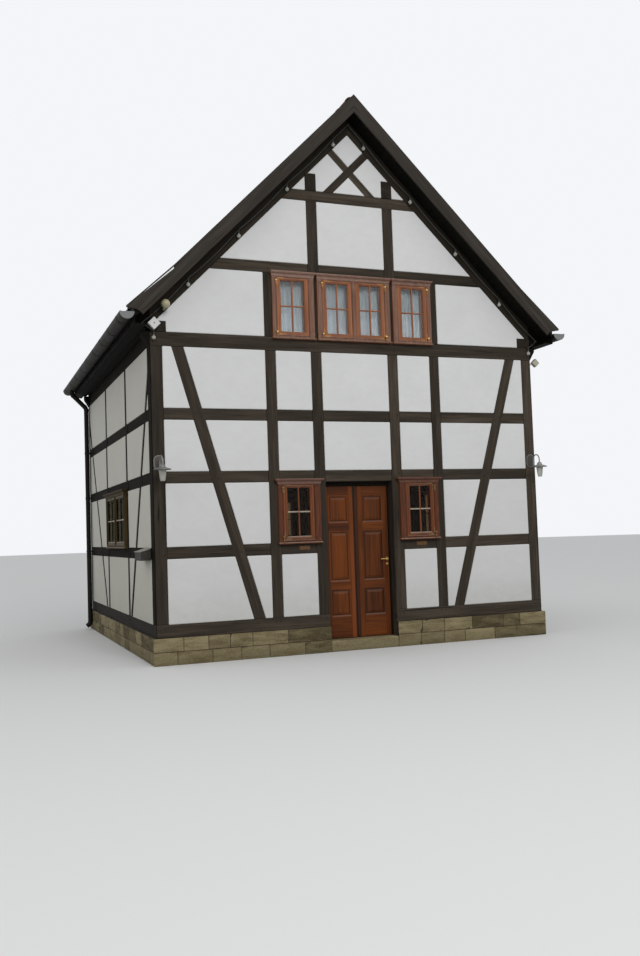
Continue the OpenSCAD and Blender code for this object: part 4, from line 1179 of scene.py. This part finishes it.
def eaves_boards():
    """Boards that close the eaves below the rafter tails, and fascia boards between tails and gutters."""
    s = Stock()
    foot, top = 4.642, 4.658
    for side in (-1, 1):
        for x0, x1, z1, end in (
            (3.104, TIE_END_X, top, 2.996), (3.194, 3.337, top, 3.486), (3.340, 3.3535, 4.736, 3.486),
        ):
            prism(s, rect(side * x0, side * x1, foot, z1), -end, end, across, LEVEL, 0.002, tone=0.1)
    s.piece("eaves_boards", ["boards_painted_shade"], "roof_boards")


def verge_strip():
    """A pale metal strip that shows in a wedge at the top of the left front verge board."""
    s = Stock()
    inner, outer, below = 2.800, 3.215, 0.027
    high, low = (slope_z(x, BARGE_HIGH) - below for x in (inner, outer))
    wedge = [(-inner, high), (-outer, low), (-outer, low - 0.002), (-inner, high - below)]
    prism(s, wedge, -0.3215, -0.3195, wall_place("front"), (-1, -1), 0.0005, back=False)
    s.piece("verge_strip", ["pale_metal"], "rainwater_metal")


timbers()
pegs()
plaster()
stone_rows()
pantiles()
ridge()
roof_boards()
eaves_boards()
verge_strip()


# Windows: each has its casing, its sashes' openings along the wall and their heights, as in the source

GROUND = ((0.646, 1.297, 1.615, 2.462), ((0.811, 1.158),), (1.701, 2.407))
ATTIC_SIDE = ((0.646, 1.297, 4.610, 5.508), ((0.798, 1.163),), (4.694, 5.451))
ATTIC_MIDDLE = ((-0.592, 0.592, 4.610, 5.508), ((-0.443, -0.098), (0.098, 0.443)), (4.694, 5.451))
SIDE = ((2.090, 4.020, 1.615, 2.462), ((2.210, 2.975), (3.135, 3.900)), (1.701, 2.407))
SASH_SIDE, SASH_TOP, SASH_FOOT = 0.064, 0.042, 0.050


def frame_strip(stock, box, w, d0, d1, place, arris, foot=0):
    """Four mitred strips round an opening, outside its edges. The lowest has a material slot of its own."""
    u0, u1, z0, z1 = box
    a, b, c, d = u0 - w, u1 + w, z0 - w, z1 + w
    for poly, along, slot in (
        ([(a, c), (b, c), (u1, z0), (u0, z0)], LEVEL, foot),
        ([(u0, z1), (u1, z1), (b, d), (a, d)], LEVEL, 0),
        ([(a, c), (u0, z0), (u0, z1), (a, d)], UP, 0),
        ([(u1, z0), (b, c), (b, d), (u1, z1)], UP, 0),
    ):
        prism(stock, poly, d0, d1, place, along, arris, slot, back=False)


def bars(stock, window, place, pale, w=0.021):
    """Glazing bars and mouldings. pale is the slot of the bars and beads that the rain has bleached."""
    casing, openings, (z0, z1) = window
    lap, inner_depths = 0.002, (-0.0145, -0.002)
    upright_depths, level_depths = (-0.0335, -0.0195), (-0.0325, -0.0195)
    for x0, x1 in openings:
        u, z = (x0 + x1) / 2, (z0 + z1) / 2
        upright = rect(u - w / 2, u + w / 2, z0 - lap, z1 + lap)
        level = rect(x0 - lap, x1 + lap, z - w / 2, z + w / 2)
        prism(stock, upright, *upright_depths, place, UP, 0.005)
        prism(stock, upright, *inner_depths, place, UP, 0.003)
        prism(stock, level, *level_depths, place, LEVEL, 0.007, pale)
        prism(stock, level, *inner_depths, place, LEVEL, 0.003)
        # Glazing bead, sash moulding and the strip that covers the joint of sash and casing
        bead = (x0 + 0.001, x1 - 0.001, z0 + 0.001, z1 - 0.001)
        frame_strip(stock, bead, 0.010, -0.0355, -0.0300, place, 0.004, pale)
        moulding = (x0 - 0.024, x1 + 0.024, z0 - 0.018, z1 + 0.016)
        frame_strip(stock, moulding, 0.011, -0.0435, -0.0380, place, 0.004)
        gap = 0.003
        low = max(z0 - SASH_FOOT - gap, casing[2] + 0.016)
        cover = (x0 - SASH_SIDE - gap, x1 + SASH_SIDE + gap, low, z1 + SASH_TOP + gap)
        frame_strip(stock, cover, 0.012, -0.0520, -0.0440, place, 0.005)


def corner_hinge(stock, u, z, side, up, place, d=-0.0395):
    """A brass corner hinge: two scrolled arms on the sash and a barrel beside it, with a ball on top."""
    arm, w, t = 0.118, 0.023, 0.003
    widths = ((0.0, 0.5), (0.30, 0.5), (0.42, 0.75), (0.60, 0.32), (0.80, 0.55), (1.0, 0.002 / w))
    for upright in (False, True):
        for (s0, h0), (s1, h1) in zip(widths, widths[1:]):
            quad = [(s0 * arm, h0 * w), (s1 * arm, h1 * w), (s1 * arm, -h1 * w), (s0 * arm, -h0 * w)]
            if upright:
                quad = [(side * (b - 0.012), -up * (a + 0.004)) for a, b in quad]
            else:
                quad = [(side * (-a - 0.004), up * (b - 0.010)) for a, b in quad]
            outline = [(u + a, z + b) for a, b in quad]
            prism(stock, outline, d - t, d + 0.0005, place, LEVEL, 0.0008, back=False)
    beside, proud, around = 0.008, 0.018, 12
    bu, bz, bd = u + side * beside, z - 0.086 - up * 0.044, d - proud
    barrel = [(0.0, 0.002), (0.004, 0.010), (0.012, 0.0075), (0.016, 0.0105), (0.060, 0.0105), (0.064, 0.006)]
    ball_z, r, steps = 0.082, 0.019, 8
    turns = [math.pi * k / steps for k in range(steps + 1)]
    ball = [(ball_z - r * math.cos(a), max(r * math.sin(a), 0.001)) for a in turns]
    for slot, profile in ((0, barrel), (1, ball)):
        pts = [place(a, b, bz + h) for h, q in profile for a, b in circle(bu, bd, q, around)]
        rows = len(profile)
        stock.add(pts, skin(rows, around) + caps(rows, around), None, 0.5, slot, True)


def flipped(place):
    return lambda u, d, z: place(-u, d, z)


def windows():
    """Casements from the CAD, with bars, mouldings and hinges. The ground floor's hinges are duller."""
    front, rear = wall_place("front"), wall_place("rear")
    attic = lambda place: [(ATTIC_SIDE, place), (ATTIC_SIDE, flipped(place)), (ATTIC_MIDDLE, place)]
    ground = lambda place: [(GROUND, place), (GROUND, flipped(place))]
    for name, look, units in (
        ("gable", "window_attic", attic(front)),
        ("front", "window_ground", ground(front)),
        ("rear", "window_ground", attic(rear) + ground(rear)),
        ("side", "window_painted_shade", [(SIDE, wall_place("left")), (SIDE, wall_place("right"))]),
    ):
        copied(name + "_windows", name + "_casements", 0.0018, 1, [look], "window_wood")
        s, brass, aged = Stock(), Stock(), Stock()
        for window, place in units:
            openings, (z0, z1) = window[1:]
            bars(s, window, place, int(window in (GROUND, SIDE)))
            hinged = [(openings[0][0] - SASH_SIDE, -1)] if len(openings) > 1 else []
            for u, side in hinged + [(openings[-1][1] + SASH_SIDE, 1)]:
                for z, up in ((z1 + SASH_TOP, 1), (z0 - SASH_FOOT, -1)):
                    corner_hinge(aged if window is GROUND else brass, u, z, side, up, place)
        s.piece(name + "_glazing_bars", [look] if name == "gable" else [look, "bleached_wood"], "window_wood")
        if name in ("gable", "rear"):
            brass.piece(name + "_hinges", ["hinge_brass", "bright_brass"], "lever_brass")
        if name in ("front", "rear"):
            aged.piece(name + "_ground_hinges", ["aged_brass", "aged_brass"], "lever_brass")


def panes():
    """The sheets of glass: clear in the attic, tinted dark on the ground floor as painted shade of the room
    behind, and tinted olive in the left wall as a painted reflection of green surroundings.

    The ground floor's rear and right ones let little light in, so they don't shine through the front ones.
    """
    attic_z, side_x = 3.5, 3.0
    for name, look, belongs in (
        ("attic", "pane_glass", lambda x, y, z: z > attic_z),
        ("ground", "dark_pane", lambda x, y, z: z < attic_z and abs(x) < side_x and y < 0.0),
        ("left", "olive_pane", lambda x, y, z: z < attic_z and x < -side_x),
        ("far", "shaded_pane", lambda x, y, z: z < attic_z and (x > side_x or abs(x) < side_x and y > 0.0)),
    ):
        bm = bmesh.new()
        bm.from_mesh(nodes["window_glass"].data)
        bmesh.ops.delete(bm, geom=[v for v in bm.verts if not belongs(*v.co)], context="VERTS")
        m = bpy.data.meshes.new("panes_" + name)
        bm.to_mesh(m)
        bm.free()
        settle(bpy.data.objects.new("panes_" + name, m), [look], "window_glass", ("window_glass",))


def ring(stock, at, r, tube, around=14, section=6):
    """A small ring that hangs square to X."""
    pts = []
    for i in range(around):
        a = math.tau * i / around
        for b in [math.tau * j / section for j in range(section)]:
            q = r + tube * math.cos(b)
            pts.append((at[0] + tube * math.sin(b), at[1] + q * math.cos(a), at[2] + q * math.sin(a)))
    stock.add(pts, skin(around, section, loop=True), None, 0.5, 0, True)


def curtains():
    """Three gathered curtains on rings behind the attic windows."""
    top, foot, mid, rod_z = 5.501, 4.646, -3.095, 5.520
    fold, rows, per_fold = 0.068, 24, 12
    hung = Stock()
    bays = (("left", -1.2555, -0.709), ("middle", -0.541, 0.541), ("right", 0.709, 1.2555))
    for number, (name, a, b) in enumerate(bays):
        a, b = a + 0.010, b - 0.010
        folds = round((b - a) / fold)
        cols = folds * per_fold
        pts, grain = [], []
        for j in range(rows + 1):
            t = j / rows
            grow = 0.30 + 0.70 * min(1.0, t * 3.0)
            run = 0.0
            for i in range(cols + 1):
                s = i / cols
                phase = math.tau * folds * s + 0.9 * math.sin(s * 7.0 + number)
                wobble = 0.25 * math.sin(3.1 * t + i * 0.11 + number)
                depth = 0.008 * grow * math.sin(phase + wobble * t)
                sway = 0.006 * t * math.sin(0.5 * phase + number)
                pinch = 0.004 * grow * math.sin(2 * (phase + wobble * t))
                x = a + (b - a) * s + (pinch * 0.6 if 0 < i < cols else 0)
                pts.append((x, mid + depth + sway * 0.5, top + (foot - top) * t))
                if i:
                    run += (Vector(pts[-1]) - Vector(pts[-2])).length
                grain.append((run, (top - foot) * t, 0.0))
        s = Stock()
        s.add(pts, skin(rows + 1, cols + 1, rings=False), grain, 0.5, 0, True)
        obj = s.piece("curtain_" + name, ["curtain_net"], "curtain_cloth", ("curtains",), solid=False)
        obj.modifiers.new("cloth", "SOLIDIFY").thickness = 0.0008
        for k in range(folds + 1):
            ring(hung, (a + (b - a) * k / folds, mid, rod_z - 0.0035), 0.0125, 0.0016)
    hung.piece("curtain_rings", ["satin_brass"], "lever_brass")


windows()
panes()
curtains()


# Door and small fittings


def stepped(stock, box, steps, place, tone, loop=False):
    """A solid through rectangles, each an inset and a depth. In a loop the last joins the first."""
    u0, u1, z0, z1 = box
    shift = shifts(40)
    points = []
    for inset, d in steps:
        points += [(u, d, z) for u, z in rect(u0 + inset, u1 - inset, z0 + inset, z1 - inset)]
    faces = skin(len(steps), 4, loop=loop) + ([] if loop else caps(len(steps), 4))
    grain = [(z + shift[0], u + shift[1], d + shift[2]) for u, d, z in points]
    stock.add([place(*p) for p in points], faces, grain, tone)


def door():
    """One wide leaf of stiles, rails and raised panels, with a groove down it and a cover strip beside it."""
    face, back, knuckle = WALL - 0.045, WALL, 0.007
    low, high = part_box("door_leaf")
    z0, z1 = low[2], high[2]
    pin = low[0] + knuckle
    x0, x1 = pin + 0.003, high[0]
    front = wall_place("front")
    s = Stock()

    def board(u0, u1, w0, w1, along, tone, sunk=0.0):
        prism(s, rect(u0, u1, w0, w1), face + sunk, back - sunk, front, along, 0.0025, tone=tone)

    (a0, a1), (b0, b1) = DOOR_COLS
    for u0, u1, tone in ((x0, a0, 0.4), (a1, DOOR_GROOVE[0], 0.8), (DOOR_STRIP, b0, 0.6), (b1, x1, 0.4)):
        board(u0, u1, z0, z1, UP, tone)
    board(*DOOR_GROOVE, z0, z1, UP, 0.1, 0.011)
    board(DOOR_GROOVE[1], DOOR_STRIP, z0, z1, UP, 0.2, 0.003)
    levels = [z0] + [z for row in DOOR_ROWS for z in row] + [z1]
    for (u0, u1), tones in zip(DOOR_COLS, ((0.4, 0.75, 0.3, 0.3), (0.5, 0.6, 0.8, 0.35))):
        for k, tone in enumerate(tones):
            board(u0, u1, levels[2 * k], levels[2 * k + 1], LEVEL, tone)
    moulding = [(0.0, 0.0035), (0.005, 0.0020), (0.027, 0.0120), (0.027, 0.0200), (0.0, 0.0200)]
    field = [(0.046, 0.0030), (0.043, 0.0055), (0.007, 0.0135), (0.0, 0.0135)]
    edge = 0.025
    for (u0, u1), tones in zip(DOOR_COLS, ((0.65, 0.85, 0.85), (0.3, 0.4, 0.5))):
        for (w0, w1), tone in zip(DOOR_ROWS, tones):
            for outer, inwards in ((face, 1), (back, -1)):
                steps = [(i, outer + inwards * d) for i, d in moulding]
                stepped(s, (u0, u1, w0, w1), steps, front, tone, loop=True)
            steps = [(i, face + d) for i, d in field] + [(i, back - d) for i, d in reversed(field)]
            stepped(s, (u0 + edge, u1 - edge, w0 + edge, w1 - edge), steps, front, tone)
    upright = lambda u, d, z: (u, z, d)
    round_pin = circle(pin, -HALF_D + back + 0.010, knuckle, 24)
    for level in (0.502, 1.352, 2.202):
        top = level + 0.048
        prism(s, round_pin, level, top, upright, UP, 0.0005, slot=1)
        prism(s, rect(pin, pin + 0.050, level, top), back, back + knuckle, front, UP, 0.0005, slot=1)
    s.piece("panelled_door", ["door_varnish", "satin_brass"], "door_wood", ("door_leaf",), "door")


def plates():
    """Bare brass plates on the lower rail, one below each ground window, and the sensor's lens."""
    front = wall_place("front")
    s = Stock()
    for x0, x1 in ((-0.985, -0.820), (0.920, 1.090)):
        prism(s, rect(x0, x1, 1.500, 1.561), RAIL_BACK - 0.004, RAIL_BACK + 0.004, front, LEVEL, 0.002)
    s.piece("brass_plates", ["plate_brass"], "lever_brass")
    s = Stock()
    prism(s, circle(-3.046, 4.709, 0.010, 20), -0.1170, -0.1145, front, UP, 0.001, back=False)
    s.piece("sensor_lens", ["dark_lens"], "lamp_plastic")


def carried_over():
    """CAD nodes whose shape is right, with rounded corners where they are near."""
    for node, name, width, segments, look, slot in (
        ("bargeboards_front", "verge_boards_front", 0.005, 2, "barge_wood", "barge_wood"),
        ("bargeboards_rear", "verge_boards_rear", 0.005, 2, "barge_wood", "barge_wood"),
        ("door_step", "threshold_stone", 0.012, 2, "sandstone", "sandstone"),
        ("door_frame", "door_jambs", 0.002, 1, "jamb_oak_painted_shade", "timber"),
        ("letterbox", "letterbox_case", 0.003, 2, "grey_sheet", "letterbox_metal"),
    ):
        copied(node, name, width, segments, [look], slot)
    for look, *same in (
        ("mortar", "plinth_front_left", "plinth_front_right", "plinth_sides", "plinth_rear"),
        ("floor_flags", "ground_floor"),
        ("floor_boards", "attic_floor"),
        ("brown_sheet", "gutter_left", "gutter_right", "downpipes"),
        ("satin_brass", "curtain_rods", "door_lever"),
        ("zinc", "wall_lamps"),
        ("bulb_glass", "lamp_glasses"),
        ("cream_plastic", "eaves_lights"),
        ("cable_sheath", "light_cable"),
    ):
        for node in same:
            materials = nodes[node].data.materials
            materials.clear()
            materials.append(looks[look])


door()
plates()
carried_over()


# Camera, light and floor


def placed(name, data):
    """A new object of the scene."""
    obj = bpy.data.objects.new(name, data)
    bpy.context.scene.collection.objects.link(obj)
    return obj


def camera():
    """The photograph's view: a lens of 35.45 mm on 36 mm of height, a little up and turned right."""
    yaw, pitch, roll = (math.radians(a) for a in (-21.265, 3.300, 1.956))
    turn = Matrix.Rotation(yaw, 3, "Z") @ Matrix.Rotation(pitch, 3, "X") @ Matrix.Rotation(roll, 3, "Y")
    right, forward, up = (turn.col[i] for i in range(3))
    focal_px, height_px = 941.4, 956
    data = bpy.data.cameras.new("camera")
    data.sensor_fit = "VERTICAL"
    data.sensor_height = 36.0
    data.lens = data.sensor_height * focal_px / height_px
    data.clip_end = 400
    m = Matrix((right, up, -forward)).transposed().to_4x4()
    m.translation = Vector((-5.6415, -16.079, 1.746))
    cam = placed("camera", data)
    cam.matrix_world = m
    bpy.context.scene.camera = cam


def lamp(name, at, target, size, power):
    data = bpy.data.lights.new(name, "AREA")
    data.shape = "DISK"
    data.size = size
    data.energy = power
    obj = placed(name, data)
    obj.location = at
    obj.rotation_euler = (Vector(target) - Vector(at)).to_track_quat("-Z", "Y").to_euler()


def studio():
    """A wide floor, which looks paler than the light it gives back, an even sky and two lamps."""
    bounced, shown = (0.36, 0.36, 0.355, 1.0), (0.68, 0.68, 0.67, 1.0)
    bm = bmesh.new()
    bmesh.ops.create_circle(bm, cap_ends=True, radius=120, segments=64)
    m = bpy.data.meshes.new("floor")
    bm.to_mesh(m)
    bm.free()
    k = Look("studio_floor", 0.95, Specular_IOR_Level=0.1)
    k.colour(k.mix(k.seen(), bounced, shown))
    m.materials.append(k.mat)
    floor = placed("floor", m)
    floor.location.z = -0.001
    world = bpy.data.worlds.new("studio")
    bpy.context.scene.world = world
    world.use_nodes = True
    g = Graph(world.node_tree)
    lit = g.node("ShaderNodeBackground", (0, (0.96, 0.98, 1.0, 1)), (1, 0.74)).outputs[0]
    pale = g.node("ShaderNodeBackground", (0, (0.90, 0.915, 0.94, 1))).outputs[0]
    sky = g.node("ShaderNodeMixShader", (0, g.seen()), (1, lit), (2, pale)).outputs[0]
    g.node("ShaderNodeOutputWorld", (0, sky))
    lamp("key", (-1.0, -25.0, 14.0), (0.5, -2.0, 3.5), 10.0, 2050)
    lamp("fill", (-18.0, -10.0, 11.0), (-1.0, 0.0, 3.5), 12.0, 75)


camera()
studio()
bpy.context.scene.view_settings.view_transform = "Standard"
